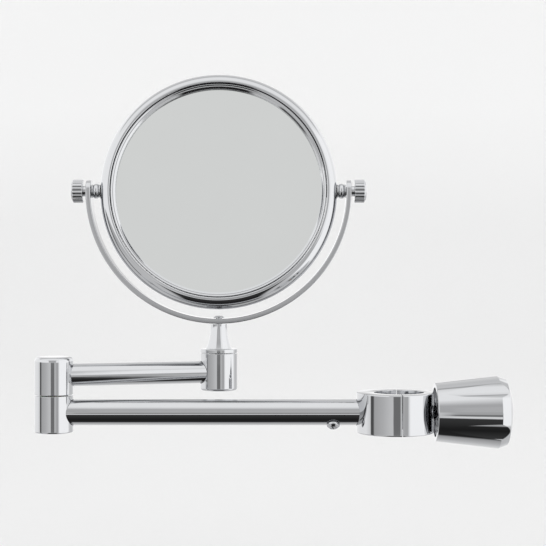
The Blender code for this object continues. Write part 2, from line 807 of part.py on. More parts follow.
def build_yoke(swivel):
    """A flat bar bent to a half ring, with a rounded eye at each end."""
    half = YOKE_THICKNESS / 2
    edge = YOKE_CHAMFER
    shape = bmesh.new()
    rings = []
    for (x, z), (out_x, out_z), width in yoke_stations():
        section = [
            (half - edge, width),
            (half, width - edge),
            (half, edge - width),
            (half - edge, -width),
            (edge - half, -width),
            (-half, edge - width),
            (-half, width - edge),
            (edge - half, width),
        ]
        ring = [
            shape.verts.new((x + out_x * depth, side, z + out_z * depth))
            for depth, side in section
        ]
        rings.append(ring)
    for near, far in zip(rings, rings[1:]):
        for index in range(len(near)):
            after = (index + 1) % len(near)
            shape.faces.new((near[index], near[after], far[after], far[index]))
    shape.faces.new(rings[0][::-1])
    shape.faces.new(rings[-1])
    yoke = finish(
        shape, "yoke", "chrome", parent=swivel, location=(0, 0, TILT_AXIS_Z)
    )
    far = YOKE_OUTER_RADIUS + YOKE_WIDTH
    eye = rod_cutter(
        "cut_yoke_eyes",
        STUD_RADIUS + FIT,
        -far,
        far,
        AROUND_SMALL,
        parent=swivel,
        location=(0, 0, TILT_AXIS_Z),
        rotation=ALONG_X,
    )
    screw_hole = rod_cutter(
        "cut_yoke_screw",
        YOKE_SCREW_RADIUS + FIT,
        STEM_TOP_Z - YOKE_THICKNESS,
        STEM_TOP_Z + 3 * YOKE_THICKNESS,
        AROUND_SMALL,
        parent=swivel,
    )
    cut(yoke, eye, screw_hole)


def build_mirror(tilt):
    """The half-round frame, the two glasses back to back and the rings over them."""
    half = FRAME_THICKNESS / 2
    bore = FRAME_BORE_RADIUS
    crest = bore + FRAME_INNER_ROUND
    bulge = FRAME_RADIUS - crest
    outline = [(bore, FRAME_INNER_ROUND - half), (bore, half - FRAME_INNER_ROUND)]
    for step in (1, 2):
        angle = step * pi / 6
        outline.append(
            (
                crest - FRAME_INNER_ROUND * cos(angle),
                half - FRAME_INNER_ROUND * (1 - sin(angle)),
            )
        )
    steps = 8
    for step in range(steps + 1):
        angle = pi / 2 - pi * step / steps
        outline.append((crest + bulge * cos(angle), half * sin(angle)))
    for step in (2, 1):
        angle = step * pi / 6
        outline.append(
            (
                crest - FRAME_INNER_ROUND * cos(angle),
                FRAME_INNER_ROUND * (1 - sin(angle)) - half,
            )
        )
    frame = turned(
        "mirror_frame", "chrome", outline, AROUND_RING, parent=tilt, rotation=TO_VIEWER
    )
    far = FRAME_RADIUS + FRAME_THICKNESS
    cut(
        frame,
        rod_cutter(
            "cut_insert_holes",
            PIVOT_INSERT_RADIUS + FIT,
            -far,
            far,
            AROUND_SMALL,
            parent=tilt,
            rotation=ALONG_X,
        ),
    )
    for side, turn in (("left", AGAINST_X), ("right", ALONG_X)):
        cut(
            frame,
            rod_cutter(
                "cut_spot_face_" + side,
                SPOT_FACE_RADIUS,
                SPOT_FACE_X,
                far,
                AROUND_SMALL,
                parent=tilt,
                rotation=turn,
            ),
        )
    glass_radius = bore - FIT
    backing = BACKING_THICKNESS / 2
    glass_back = backing + FIT
    glass_face = glass_back + GLASS_THICKNESS
    turned(
        "backing_disc",
        "fibre",
        disc_outline(glass_radius, -backing, backing),
        AROUND_RING,
        parent=tilt,
        rotation=TO_VIEWER,
    )
    turned(
        "plain_glass",
        "glass",
        disc_outline(glass_radius, glass_back, glass_face),
        AROUND_RING,
        parent=tilt,
        rotation=TO_VIEWER,
    )
    dish = [(glass_radius, glass_back), (glass_radius, glass_face)]
    steps = 4
    for step in range(steps + 1):
        radius = BEZEL_INNER_RADIUS * (1 - step / steps)
        sag = MAGNIFIER_SAG * (1 - (radius / BEZEL_INNER_RADIUS) ** 2)
        dish.append((radius, glass_face - sag))
    dish.append((0.0, glass_back))
    turned(
        "magnifying_glass",
        "glass",
        dish,
        AROUND_RING,
        parent=tilt,
        rotation=(-pi / 2, 0, 0),
    )
    low = glass_face + FIT
    high = low + BEZEL_THICKNESS
    ring = [
        (BEZEL_INNER_RADIUS, low),
        (glass_radius, low),
        (glass_radius, high - BEZEL_ROUND),
        (glass_radius - BEZEL_ROUND * 0.3, high - BEZEL_ROUND * 0.3),
        (glass_radius - BEZEL_ROUND, high),
        (BEZEL_INNER_RADIUS + BEZEL_ROUND, high),
        (BEZEL_INNER_RADIUS, high - BEZEL_ROUND),
    ]
    for name, turn in (("bezel_front", pi / 2), ("bezel_rear", -pi / 2)):
        turned(name, "chrome", ring, AROUND_RING, parent=tilt, rotation=(turn, 0, 0))


def spacer_outline():
    """A ball between two collars, bored for the stud."""
    low = SPOT_FACE_X + FIT
    high = YOKE_INNER_RADIUS - FIT
    bore = STUD_RADIUS + FIT
    neck = (bore + SPACER_COLLAR_RADIUS) / 2
    start = low + SPACER_COLLAR_LENGTH
    end = high - SPACER_COLLAR_LENGTH
    outline = [
        (bore, low),
        (SPACER_COLLAR_RADIUS, low),
        (SPACER_COLLAR_RADIUS, start),
        (neck, start),
    ]
    steps = 6
    for step in range(1, steps):
        share = step / steps
        radius = neck + (SPACER_BALL_RADIUS - neck) * sqrt(1 - (2 * share - 1) ** 2)
        outline.append((radius, start + (end - start) * share))
    outline += [
        (neck, end),
        (SPACER_COLLAR_RADIUS, end),
        (SPACER_COLLAR_RADIUS, high),
        (bore, high),
    ]
    return outline


def build_thumb_knob(side, turn, axis):
    """A ribbed thumb knob fixed on a stud that passes the yoke into the frame."""
    low = YOKE_OUTER_RADIUS + FIT
    back = low + THUMB_NECK_LENGTH
    front = back + THUMB_GRIP_LENGTH
    stud_start = FRAME_BORE_RADIUS + 2 * FIT
    stud_end = YOKE_OUTER_RADIUS + STUD_GRIP_LENGTH
    bore = STUD_RADIUS + FIT
    chamfer = THUMB_CHAMFER
    dome = THUMB_RADIUS - chamfer
    outline = [
        (0.0, stud_end + FIT),
        (bore, stud_end + FIT),
        (bore, low),
        (THUMB_NECK_RADIUS, low),
        (THUMB_NECK_RADIUS, back),
        (THUMB_RADIUS - chamfer, back),
        (THUMB_RADIUS, back + chamfer),
        (THUMB_RADIUS, front - chamfer),
        (dome, front),
        (dome * 0.62, front + THUMB_DOME_RISE * 0.66),
        (0.0, front + THUMB_DOME_RISE),
    ]
    around = 2 * THUMB_RIBS
    shape = spin_outline(outline, around)
    for point in shape.verts:
        radius = sqrt(point.co.x**2 + point.co.y**2)
        place = round(atan2(point.co.y, point.co.x) / (2 * pi) * around)
        if radius > dome + chamfer / 2 and place % 2:
            share = (radius - THUMB_RIB_DEPTH) / radius
            point.co.x *= share
            point.co.y *= share
    finish(shape, "thumb_knob_" + side, "chrome", parent=axis, rotation=turn)
    turned(
        "thumb_stud_" + side,
        "steel",
        disc_outline(STUD_RADIUS, stud_start, stud_end),
        AROUND_SMALL,
        parent=axis,
        rotation=turn,
    )


def build_pivots(tilt):
    """Inserts and spacers turn with the frame, thumb knobs screw in and out of it."""
    for side, turn in (("left", AGAINST_X), ("right", ALONG_X)):
        place = {"parent": tilt, "rotation": turn}
        turned(
            "pivot_insert_" + side,
            "brass",
            disc_outline(
                PIVOT_INSERT_RADIUS,
                FRAME_BORE_RADIUS + FIT,
                SPOT_FACE_X - FIT,
                hole=STUD_RADIUS + FIT,
            ),
            AROUND_SMALL,
            **place,
        )
        turned("pivot_spacer_" + side, "chrome", spacer_outline(), AROUND, **place)
        knob_axis = empty("thumb_axis_" + side, (0, 0, 0), parent=tilt)
        build_thumb_knob(side, turn, knob_axis)


def dome_height(radius):
    """Distance from the knob's rim to its domed end, at a radius."""
    full = KNOB_CONE_LENGTH + KNOB_BEVEL_LENGTH + KNOB_DOME_RISE
    return full - KNOB_DOME_RISE * (radius / KNOB_CORNER_RADIUS) ** 2


def build_clamp_screw(pad_axis):
    """The pad rides on the spindle's nose, and the fluted knob turns the spindle."""
    pad = block(
        "pressure_pad",
        "nylon",
        (PAD_FRONT_X, -PAD_WIDTH / 2, -PAD_HEIGHT / 2),
        (PAD_BACK_X, PAD_WIDTH / 2, PAD_HEIGHT / 2),
        edge=0.5 * MM,
        parent=pad_axis,
    )
    nose_hole = rod_cutter(
        "cut_pad_nose",
        SPINDLE_NOSE_RADIUS + FIT,
        PAD_FRONT_X + PAD_FACE_WALL,
        PAD_BACK_X + PAD_THICKNESS,
        AROUND_SMALL,
        parent=pad_axis,
        rotation=ALONG_X,
    )
    cut(pad, nose_hole)
    knob_axis = empty("knob_axis", (0, 0, 0), parent=pad_axis)
    nose_end = PAD_FRONT_X + PAD_FACE_WALL + FIT
    shank_start = max(PAD_BACK_X + FIT, nose_end + SPINDLE_NOSE_LENGTH)
    seat = dome_height(KNOB_CAP_RADIUS + FIT) - KNOB_CAP_SEAT_DEPTH
    screw_floor = seat - KNOB_SCREW_HEAD_HEIGHT - 3 * FIT
    hub_end = screw_floor - KNOB_WEB
    spindle_end = KNOB_RIM_X + hub_end - FIT
    screw_x = KNOB_RIM_X + screw_floor + FIT
    screw_hole_end = screw_x - KNOB_SCREW_LENGTH - FIT
    turned(
        "clamp_spindle",
        "chrome",
        [
            (0.0, nose_end),
            (SPINDLE_NOSE_RADIUS, nose_end),
            (SPINDLE_NOSE_RADIUS, shank_start),
            (SPINDLE_RADIUS, shank_start),
            (SPINDLE_RADIUS, spindle_end),
            (KNOB_SCREW_RADIUS + FIT, spindle_end),
            (KNOB_SCREW_RADIUS + FIT, screw_hole_end),
            (0.0, screw_hole_end),
        ],
        AROUND,
        parent=knob_axis,
        rotation=ALONG_X,
    )
    lip = 0.4 * MM
    cap_hole = KNOB_CAP_RADIUS + FIT
    corner = KNOB_CONE_LENGTH + KNOB_BEVEL_LENGTH
    # The knob is a cup that opens under its end cap, with a shallow recess in its back.
    hollow_floor = KNOB_RECESS_DEPTH + KNOB_WEB
    place = {"parent": knob_axis, "location": (KNOB_RIM_X, 0, 0), "rotation": ALONG_X}
    knob = turned(
        "clamp_knob",
        "chrome",
        [
            (KNOB_HOLLOW_RADIUS, 0.0),
            (KNOB_RIM_RADIUS - lip, 0.0),
            (KNOB_RIM_RADIUS, lip),
            (KNOB_SHOULDER_RADIUS, KNOB_CONE_LENGTH),
            (KNOB_CORNER_RADIUS, corner),
            (cap_hole, dome_height(cap_hole)),
            (cap_hole, seat),
            (KNOB_HOLLOW_RADIUS, seat),
            (KNOB_HOLLOW_RADIUS, hollow_floor),
            (KNOB_HUB_RADIUS, hollow_floor),
            (KNOB_HUB_RADIUS, screw_floor),
            (KNOB_SCREW_RADIUS + FIT, screw_floor),
            (KNOB_SCREW_RADIUS + FIT, hub_end),
            (SPINDLE_RADIUS + FIT, hub_end),
            (SPINDLE_RADIUS + FIT, KNOB_RECESS_DEPTH),
            (KNOB_HOLLOW_RADIUS, KNOB_RECESS_DEPTH),
        ],
        AROUND_LARGE,
        **place,
    )
    flutes = spin_flutes()
    cut(knob, finish(flutes, "cut_flutes", None, **place))
    turned(
        "knob_screw",
        "steel",
        screw_outline(
            KNOB_SCREW_HEAD_RADIUS,
            KNOB_SCREW_HEAD_HEIGHT,
            KNOB_SCREW_RADIUS,
            KNOB_SCREW_LENGTH,
        ),
        AROUND_SMALL,
        parent=knob_axis,
        location=(screw_x, 0, 0),
        rotation=ALONG_X,
    )
    cap = [(0.0, seat + FIT), (KNOB_CAP_RADIUS, seat + FIT)]
    for share in (1.0, 0.75, 0.5, 0.25, 0.0):
        radius = KNOB_CAP_RADIUS * share
        cap.append((radius, dome_height(radius)))
    turned("knob_end_cap", "chrome", cap, AROUND_LARGE, **place)


def spin_flutes():
    """Leaning rods round the knob: each cuts a lens that widens to the shoulder."""
    slope = (KNOB_SHOULDER_RADIUS - KNOB_RIM_RADIUS) / KNOB_CONE_LENGTH
    start_radius = KNOB_RIM_RADIUS + slope * FLUTE_SETBACK
    end_radius = KNOB_SHOULDER_RADIUS - FLUTE_DEPTH
    run = KNOB_CONE_LENGTH - FLUTE_SETBACK
    lean = atan2(end_radius - start_radius, run)
    shape = bmesh.new()
    for index in range(FLUTE_COUNT):
        angle = FLUTE_START_ANGLE + 2 * pi * index / FLUTE_COUNT
        made = bmesh.ops.create_cone(
            shape,
            cap_ends=True,
            segments=48,
            radius1=FLUTE_CUTTER_RADIUS,
            radius2=FLUTE_CUTTER_RADIUS,
            depth=2.7 * run,
        )
        # The rod's lowest line passes the start point and leans out with the cone.
        reach = FLUTE_CUTTER_RADIUS / cos(lean)
        place = (
            Matrix.Rotation(angle - pi / 2, 4, "Z")
            @ Matrix.Translation((start_radius + reach, 0, FLUTE_SETBACK))
            @ Matrix.Rotation(lean, 4, "Y")
        )
        bmesh.ops.transform(shape, matrix=place, verts=made["verts"])
    return shape


def build():
    for item in list(bpy.data.objects):
        bpy.data.objects.remove(item, do_unlink=True)
    bolt_x = build_clamp()
    build_lower_arm(bolt_x)
    knuckle = empty("knuckle_axis", (-LOWER_ARM_REACH, 0, 0))
    head_top = build_lower_knuckle(knuckle)
    arm = empty("upper_arm_axis", (0, 0, 0), (0, 0, UPPER_ARM_SWING), parent=knuckle)
    build_upper_arm(arm, head_top)
    swivel = empty(
        "swivel_axis", (UPPER_ARM_REACH, 0, 0), (0, 0, YOKE_SWIVEL), parent=arm
    )
    build_stem(swivel)
    build_yoke(swivel)
    tilt = empty("tilt_axis", (0, 0, TILT_AXIS_Z), (MIRROR_TILT, 0, 0), parent=swivel)
    build_mirror(tilt)
    build_pivots(tilt)
    pad_axis = empty("pad_axis", (0, 0, 0))
    build_clamp_screw(pad_axis)


build()
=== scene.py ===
# %% [markdown]
# # A shaving mirror on a rail clamp
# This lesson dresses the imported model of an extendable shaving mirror. The model gives every
# size, axis and moving body. The cells below turn smooth skins over its faceted solids, plate
# them with chrome, silver the glass, and light the whole in a pale studio tent.
# Everything is worked out in millimetres and scaled to metres when a mesh is made.

import json
from math import atan2, cos, pi, radians, sin, sqrt, tan

import bmesh
import bpy
from mathutils import Matrix, Vector


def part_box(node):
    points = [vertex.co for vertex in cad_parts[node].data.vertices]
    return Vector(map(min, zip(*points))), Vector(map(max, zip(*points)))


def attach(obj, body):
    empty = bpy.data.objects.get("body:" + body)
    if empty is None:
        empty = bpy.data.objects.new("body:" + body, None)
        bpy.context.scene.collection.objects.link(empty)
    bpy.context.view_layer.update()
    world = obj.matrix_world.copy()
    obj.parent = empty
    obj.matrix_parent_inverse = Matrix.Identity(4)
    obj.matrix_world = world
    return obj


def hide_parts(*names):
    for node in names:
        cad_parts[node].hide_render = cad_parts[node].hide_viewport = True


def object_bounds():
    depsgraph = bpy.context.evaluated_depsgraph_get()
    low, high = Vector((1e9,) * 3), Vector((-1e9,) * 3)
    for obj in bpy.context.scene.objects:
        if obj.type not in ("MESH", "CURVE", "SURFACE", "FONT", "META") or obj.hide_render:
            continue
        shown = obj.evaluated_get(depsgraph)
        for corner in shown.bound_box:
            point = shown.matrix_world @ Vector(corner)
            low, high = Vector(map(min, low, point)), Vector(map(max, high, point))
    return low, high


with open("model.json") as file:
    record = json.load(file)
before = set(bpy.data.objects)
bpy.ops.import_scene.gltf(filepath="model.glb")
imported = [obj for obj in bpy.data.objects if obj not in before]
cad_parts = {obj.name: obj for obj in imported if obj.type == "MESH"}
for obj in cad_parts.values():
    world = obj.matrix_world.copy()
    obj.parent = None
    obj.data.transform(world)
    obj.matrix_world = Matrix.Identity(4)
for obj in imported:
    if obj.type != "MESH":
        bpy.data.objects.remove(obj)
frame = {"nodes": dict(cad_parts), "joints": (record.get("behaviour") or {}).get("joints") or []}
cad_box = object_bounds()
print("solids loaded:", len(frame["nodes"]))

# %% [markdown]
# ## Where things are
# The joints of the model say where the arm swings, where the yoke turns and where the mirror
# tilts. The line from the rear retaining ring to the front one says which way the plain glass
# faces. Reading them here puts every later piece where its solid is. Sizes that no box shows,
# such as a taper or a rounding, are given where a piece is made.

# %% Axes and directions
MM = 0.001
UP = Vector((0, 0, 1))
RIGHT = Vector((1, 0, 0))
joint_point = {
    joint["name"]: Vector(joint.get("pos_m", (0, 0, 0))) / MM for joint in frame["joints"]
}
swing = joint_point["arm_swing"]
swivel = joint_point["yoke_swivel"]
tilt = joint_point["mirror_tilt"]
arm_way = Vector((swivel.x - swing.x, swivel.y - swing.y, 0)).normalized()


def extent(node):
    """Lowest and highest corner of a solid, in millimetres."""
    low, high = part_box(node)
    return low / MM, high / MM


def width(node, side=0):
    low, high = extent(node)
    return high[side] - low[side]


def middle(node):
    low, high = extent(node)
    return (low + high) / 2


facing = (middle("bezel_front") - middle("bezel_rear")).normalized()
print("arm swings at", tuple(round(value, 1) for value in swing))
print("glass faces", tuple(round(value, 3) for value in facing))

# %% [markdown]
# ## One small helper for shader nodes
# Each finish is a short chain of nodes. This helper makes one node, applies its settings and
# joins its inputs, whether they are plain values or the output of an earlier node.

# %% Add a node
def linear(colour):
    """sRGB hex such as #C4C6C8 to linear RGBA."""
    parts = [int(colour[i : i + 2], 16) / 255 for i in (1, 3, 5)]
    return [p / 12.92 if p <= 0.04045 else ((p + 0.055) / 1.055) ** 2.4 for p in parts] + [1]


def fill(tree, node, inputs):
    """Sets each input of a node, or links it to another node's output."""
    for key, value in inputs.items():
        if isinstance(value, bpy.types.Node):
            value = next(output for output in value.outputs if output.enabled)
        if isinstance(value, bpy.types.NodeSocket):
            tree.links.new(value, node.inputs[key])
        else:
            node.inputs[key].default_value = value


def add(tree, kind, inputs=None, **settings):
    """Adds a node, sets its properties, and fills or links its inputs."""
    made = tree.nodes.new(kind)
    for name, value in settings.items():
        setattr(made, name, value)
    fill(tree, made, inputs or {})
    return made


def blank_finish(name):
    """A material with a bare shader and output, and its tree."""
    made = bpy.data.materials.new(name)
    made.use_nodes = True
    tree = made.node_tree
    tree.nodes.clear()
    shader = add(tree, "ShaderNodeBsdfPrincipled")
    add(tree, "ShaderNodeOutputMaterial", {"Surface": shader})
    return made, tree, shader


# %% [markdown]
# ## Bright chrome plate
# The arms, knobs, yoke and frame are brass, turned or bent, buffed on a mop and plated with
# nickel and a film of chromium. The eye gets an almost perfect mirror that is a little darker
# and bluer than silver, slightly wavy from the mop, with the faintest clouding where fingers
# and polish have been. So the shader is metallic with a very low roughness: one noise clouds
# the roughness over about 20 mm, and a second, about 9 mm across, bends the surface a hair.

# %% Make the chrome
def chrome_finish(name, colour, sheen_low, sheen_high, wave_mm, wave_height_mm):
    made, tree, shader = blank_finish(name)
    place = add(tree, "ShaderNodeTexCoord").outputs["Object"]
    cloud = add(
        tree,
        "ShaderNodeTexNoise",
        {"Vector": place, "Scale": 1 / (20 * MM), "Detail": 4.0, "Roughness": 0.6},
    )
    sheen = {"From Min": 0.3, "From Max": 0.7, "To Min": sheen_low, "To Max": sheen_high}
    rough = add(tree, "ShaderNodeMapRange", {"Value": cloud, **sheen})
    dark, light = [[c * share for c in linear(colour)] for share in (0.97, 1.03)]
    tint = add(
        tree, "ShaderNodeMix", {"Factor": cloud, "A": dark, "B": light}, data_type="RGBA"
    )
    wave = add(
        tree,
        "ShaderNodeTexNoise",
        {"Vector": place, "Scale": 1 / (wave_mm * MM), "Detail": 1.0, "Roughness": 0.4},
    )
    bump = add(
        tree, "ShaderNodeBump", {"Height": wave, "Strength": 1.0, "Distance": wave_height_mm * MM}
    )
    fill(
        tree, shader, {"Base Color": tint, "Metallic": 1.0, "Roughness": rough, "Normal": bump}
    )
    return made


chrome = chrome_finish("buffed_chrome_on_brass", "#C5C6C8", 0.025, 0.05, 9.0, 0.02)
screw_chrome = chrome_finish("chrome_plated_steel_screw", "#BDBEC0", 0.10, 0.16, 2.0, 0.01)
print("chrome finishes:", chrome.name, screw_chrome.name)

# %% [markdown]
# ## Back-silvered glass
# Each mirror is float glass with silver and a paint coat behind it. The silver returns nine
# tenths of the light, and the glass in front adds its own faint polish and a trace of green
# from iron. A metallic base in that colour under a clear coat of index 1.52 reads the same
# as the two layers. The clouding is a wiped surface's: very weak, about 30 mm across.

# %% Make the silvered glass
def silvered_glass():
    made, tree, shader = blank_finish("back_silvered_float_glass")
    coat = {"Coat Weight": 1.0, "Coat IOR": 1.52, "Coat Roughness": 0.0}
    place = add(tree, "ShaderNodeTexCoord").outputs["Object"]
    wiped = add(
        tree,
        "ShaderNodeTexNoise",
        {"Vector": place, "Scale": 1 / (30 * MM), "Detail": 5.0, "Roughness": 0.55},
    )
    clouding = {"From Min": 0.35, "From Max": 0.75, "To Min": 0.0, "To Max": 0.02}
    rough = add(tree, "ShaderNodeMapRange", {"Value": wiped, **clouding})
    tones = {"A": linear("#F1F3F2"), "B": linear("#F4F6F5")}
    silver = add(tree, "ShaderNodeMix", {"Factor": wiped, **tones}, data_type="RGBA")
    fill(tree, shader, {"Base Color": silver, "Metallic": 1.0, "Roughness": rough, **coat})
    return made


glass = silvered_glass()

# %% [markdown]
# ## The plain metals, the nylon and the board
# Inside the joints nobody polishes anything. Screws and washers are zinc-plated steel, dull
# and slightly blotched by the bath. The threaded inserts are turned brass, whose tool left
# fine rings. The pad, bush and washers are moulded natural nylon, off-white, waxy and a touch
# translucent. The disc between the glasses is pressed grey fibre board.

# %% Make the hidden finishes
def grainy_finish(name, dark, light, grain_mm, detail, height, body, rough=None, along_x=1.0):
    """One noise, stretched along X if asked, moves colour, height and perhaps roughness."""
    made, tree, shader = blank_finish(name)
    strength, depth_mm = height
    place = add(tree, "ShaderNodeTexCoord").outputs["Object"]
    grain = add(tree, "ShaderNodeMapping", {"Vector": place, "Scale": (along_x, 1, 1)})
    blotch = add(
        tree,
        "ShaderNodeTexNoise",
        {"Vector": grain, "Scale": 1 / (grain_mm * MM), "Detail": detail},
    )
    tones = {"A": linear(dark), "B": linear(light)}
    colour = add(tree, "ShaderNodeMix", {"Factor": blotch, **tones}, data_type="RGBA")
    bump = add(
        tree, "ShaderNodeBump", {"Height": blotch, "Strength": strength, "Distance": depth_mm * MM}
    )
    fill(tree, shader, {"Base Color": colour, "Normal": bump, **body})
    if rough:
        spread = {"To Min": rough[0], "To Max": rough[1]}
        worn = add(tree, "ShaderNodeMapRange", {"Value": blotch, **spread})
        fill(tree, shader, {"Roughness": worn})
    return made


metal = {"Metallic": 1.0}
waxy = {"Roughness": 0.42, "IOR": 1.53, "Subsurface Weight": 0.25, "Subsurface Scale": 1.5 * MM}
fibres = {"Roughness": 0.85, "IOR": 1.45}
zinc_steel = grainy_finish(
    "zinc_plated_steel", "#8E9092", "#B4B6B7", 2.5, 6.0, (0.6, 0.02), metal, (0.22, 0.38)
)
brass = grainy_finish(
    "turned_brass", "#B3924E", "#CDB06C", 1.2, 6.0, (0.6, 0.02), metal, (0.18, 0.32), 6.0
)
nylon = grainy_finish(
    "moulded_natural_nylon", "#DDDAD0", "#E8E5DC", 1.5, 5.0, (0.5, 0.015), waxy
)
board = grainy_finish(
    "pressed_fibre_board", "#6A665E", "#85817A", 0.8, 5.0, (0.5, 0.05), fibres
)
print("hidden finishes:", zinc_steel.name, brass.name, nylon.name, board.name)

# %% [markdown]
# ## How a lathe works in code
# Most of this object was made on a lathe, so most pieces start as a closed outline of
# (radius, height) corners. Real edges are never sharp: each corner can carry a rounding, and
# `soften` bends it into a small curve. `spin` then carries the outline round its axis.
# `skin` is the tool underneath: it stretches faces between loops of points.

# %% Outline, skin and spin
def soften(corners, steps=6):
    """Bends each (radius, height, round) corner of a closed outline into a curve."""
    points = []
    for index, corner in enumerate(corners):
        here = Vector(corner[:2])
        rounding = corner[2] if len(corner) > 2 else 0
        if not rounding:
            points.append(here)
            continue
        back = Vector(corners[index - 1][:2]) - here
        ahead = Vector(corners[(index + 1) % len(corners)][:2]) - here
        reach = rounding / tan(back.angle(ahead) / 2)
        reach = min(reach, back.length * 0.49, ahead.length * 0.49)
        start = here + back.normalized() * reach
        end = here + ahead.normalized() * reach
        for step in range(steps + 1):
            share = step / steps
            rest = 1 - share
            points.append(start * rest**2 + here * 2 * share * rest + end * share**2)
    return points


def skin(name, loops, ring=False):
    """Stretches faces between equal loops of points, in millimetres, into one mesh."""
    count = len(loops[0])
    points = [Vector(point) * MM for loop in loops for point in loop]
    faces = []
    for index in range(len(loops) if ring else len(loops) - 1):
        near = index * count
        far = (index + 1) % len(loops) * count
        for step in range(count):
            after = (step + 1) % count
            faces.append((near + step, near + after, far + after, far + step))
    if not ring:
        faces.append(tuple(range(count))[::-1])
        faces.append(tuple(range(len(points) - count, len(points))))
    mesh = bpy.data.meshes.new(name)
    mesh.from_pydata(points, [], faces)
    shape = bmesh.new()
    shape.from_mesh(mesh)
    bmesh.ops.remove_doubles(shape, verts=shape.verts, dist=1e-8)
    bmesh.ops.recalc_face_normals(shape, faces=shape.faces)
    shape.to_mesh(mesh)
    shape.free()
    made = bpy.data.objects.new(name, mesh)
    bpy.context.scene.collection.objects.link(made)
    return made


def axis_frame(origin, along):
    """A matrix whose Z runs along a direction from an origin, in millimetres."""
    turn = along.to_track_quat("Z", "Y").to_matrix().to_4x4()
    return Matrix.Translation(origin) @ turn


def spin(name, corners, origin=(0, 0, 0), along=UP, around=160, steps=6):
    """Turns a softened outline round an axis."""
    outline = soften(corners, steps)
    place = axis_frame(Vector(origin), Vector(along))
    loops = []
    for index in range(around):
        angle = 2 * pi * index / around
        loops.append(
            [place @ Vector((p.x * cos(angle), p.x * sin(angle), p.y)) for p in outline]
        )
    return skin(name, loops, ring=True)


# %% [markdown]
# ## Drilling, and dressing a finished piece
# Holes are drilled with Boolean cuts that are applied at once. A cut leaves odd-shaped faces
# round the hole, and chrome shows every wrong shading normal, so `true_round` gives the faces
# of a known cylinder their exact normals back. `dress` is the last step for each piece: it
# shades it smooth, gives it its finish, ties it to its moving body and stands it in for the
# faceted solid underneath.

# %% Drill, true and dress
def carve(piece, *tools):
    """Cuts the tools out of the piece and removes them."""
    for tool in tools:
        step = piece.modifiers.new("drill", "BOOLEAN")
        step.operation = "DIFFERENCE"
        step.object = tool
    graph = bpy.context.evaluated_depsgraph_get()
    carved = bpy.data.meshes.new_from_object(piece.evaluated_get(graph))
    piece.modifiers.clear()
    piece.data = carved
    for tool in tools:
        bpy.data.objects.remove(tool)


def drill(radius, low, high, origin=(0, 0, 0), along=UP, around=96):
    """A rod used as a cutting tool, from low to high along its axis."""
    return spin("drill", [(0, low), (radius, low), (radius, high), (0, high)], origin, along, around)


def true_round(mesh, normal_of):
    """Replaces a corner's normal wherever normal_of gives the exact one."""
    normals = [corner.vector.copy() for corner in mesh.corner_normals]
    for face in mesh.polygons:
        for index in face.loop_indices:
            point = mesh.vertices[mesh.loops[index].vertex_index].co / MM
            exact = normal_of(point, face.normal)
            if exact is not None:
                normals[index] = exact
    mesh.normals_split_custom_set(normals)


def round_wall(origin, along, radius):
    """The exact outward normal on a cylinder's wall, and None off it."""
    origin, along = Vector(origin), Vector(along)

    def normal_of(point, face_normal):
        arm = point - origin
        arm -= along * arm.dot(along)
        if abs(arm.length - radius) > 0.02:
            return None
        arm.normalize()
        return arm if face_normal.dot(arm) > 0.99 else None

    return normal_of


def dress(piece, finish, body, *solids, slot="polished_chrome", wall=None, sharp=35.0):
    mesh = piece.data
    mesh.materials.clear()
    mesh.materials.append(finish)
    mesh.shade_smooth()
    mesh.set_sharp_from_angle(angle=radians(sharp))
    if wall:
        true_round(mesh, wall)
    else:
        even = piece.modifiers.new("even shading", "WEIGHTED_NORMAL")
        even.keep_sharp = True
    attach(piece, body)
    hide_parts(*solids)
    return piece


# %% [markdown]
# ## The split clamp
# The clamp is a thick ring cut in two: the left half holds the arm, the right half the clamp
# screw. Its outside is a circle set 2.5 mm to the left of the bore, which leaves more brass
# where the arm enters. Each half is a section swept round the bore, so the wall can thicken
# as it goes, and its edges keep one even rounding. The holes are drilled afterwards, each with
# the same small gap round what goes into it.

# %% Sweep and drill the clamp
GAP = 0.3
bore_radius = 15.5
clamp_low, clamp_high = extent("clamp_body")
jaw_high = extent("clamp_jaw")[1]
ring_radius = (clamp_high.y - clamp_low.y) / 2
ring_centre = Vector((clamp_low.x + ring_radius, 0, 0))
half_height = clamp_high.z


def outer_reach(angle):
    """Distance from the bore's axis to the outside of the ring at an angle."""
    shift = ring_centre.x
    return shift * cos(angle) + sqrt(ring_radius**2 - (shift * sin(angle)) ** 2)


def half_ring(name, start, end, steps=120):
    loops = []
    for index in range(steps + 1):
        angle = start + (end - start) * index / steps
        far = outer_reach(angle)
        section = soften(
            [
                (bore_radius, -half_height, 0.35),
                (far, -half_height, 0.8),
                (far, half_height, 0.8),
                (bore_radius, half_height, 0.35),
            ],
            steps=5,
        )
        loops.append([(p.x * cos(angle), p.x * sin(angle), p.y) for p in section])
    return skin(name, loops)


seam = abs(clamp_high.x) / bore_radius
arm_tube_radius = width("lower_arm_tube", 1) / 2
socket_floor = extent("lower_arm_tube")[1].x + GAP
bolt_high = extent("arm_bolt")[1]
bolt_head_radius = 4.0
body_half = half_ring("clamp_left_half", pi / 2 + seam, 3 * pi / 2 - seam)
screw_spots = [middle("jaw_screw_" + side) * Vector((1, 1, 0)) for side in ("front", "rear")]
screw_radius = width("jaw_screw_front") / 2
carve(
    body_half,
    drill(arm_tube_radius + GAP, -40, socket_floor, along=RIGHT, around=128),
    drill(bolt_head_radius + GAP, bolt_high.x - 3.0, -10, along=RIGHT),
    *[drill(screw_radius + GAP, -20, -half_height + 2.9, spot) for spot in screw_spots],
)
outer_wall = round_wall(ring_centre, UP, ring_radius)
dress(body_half, chrome, "clamp_and_lower_arm", "clamp_body", wall=outer_wall)

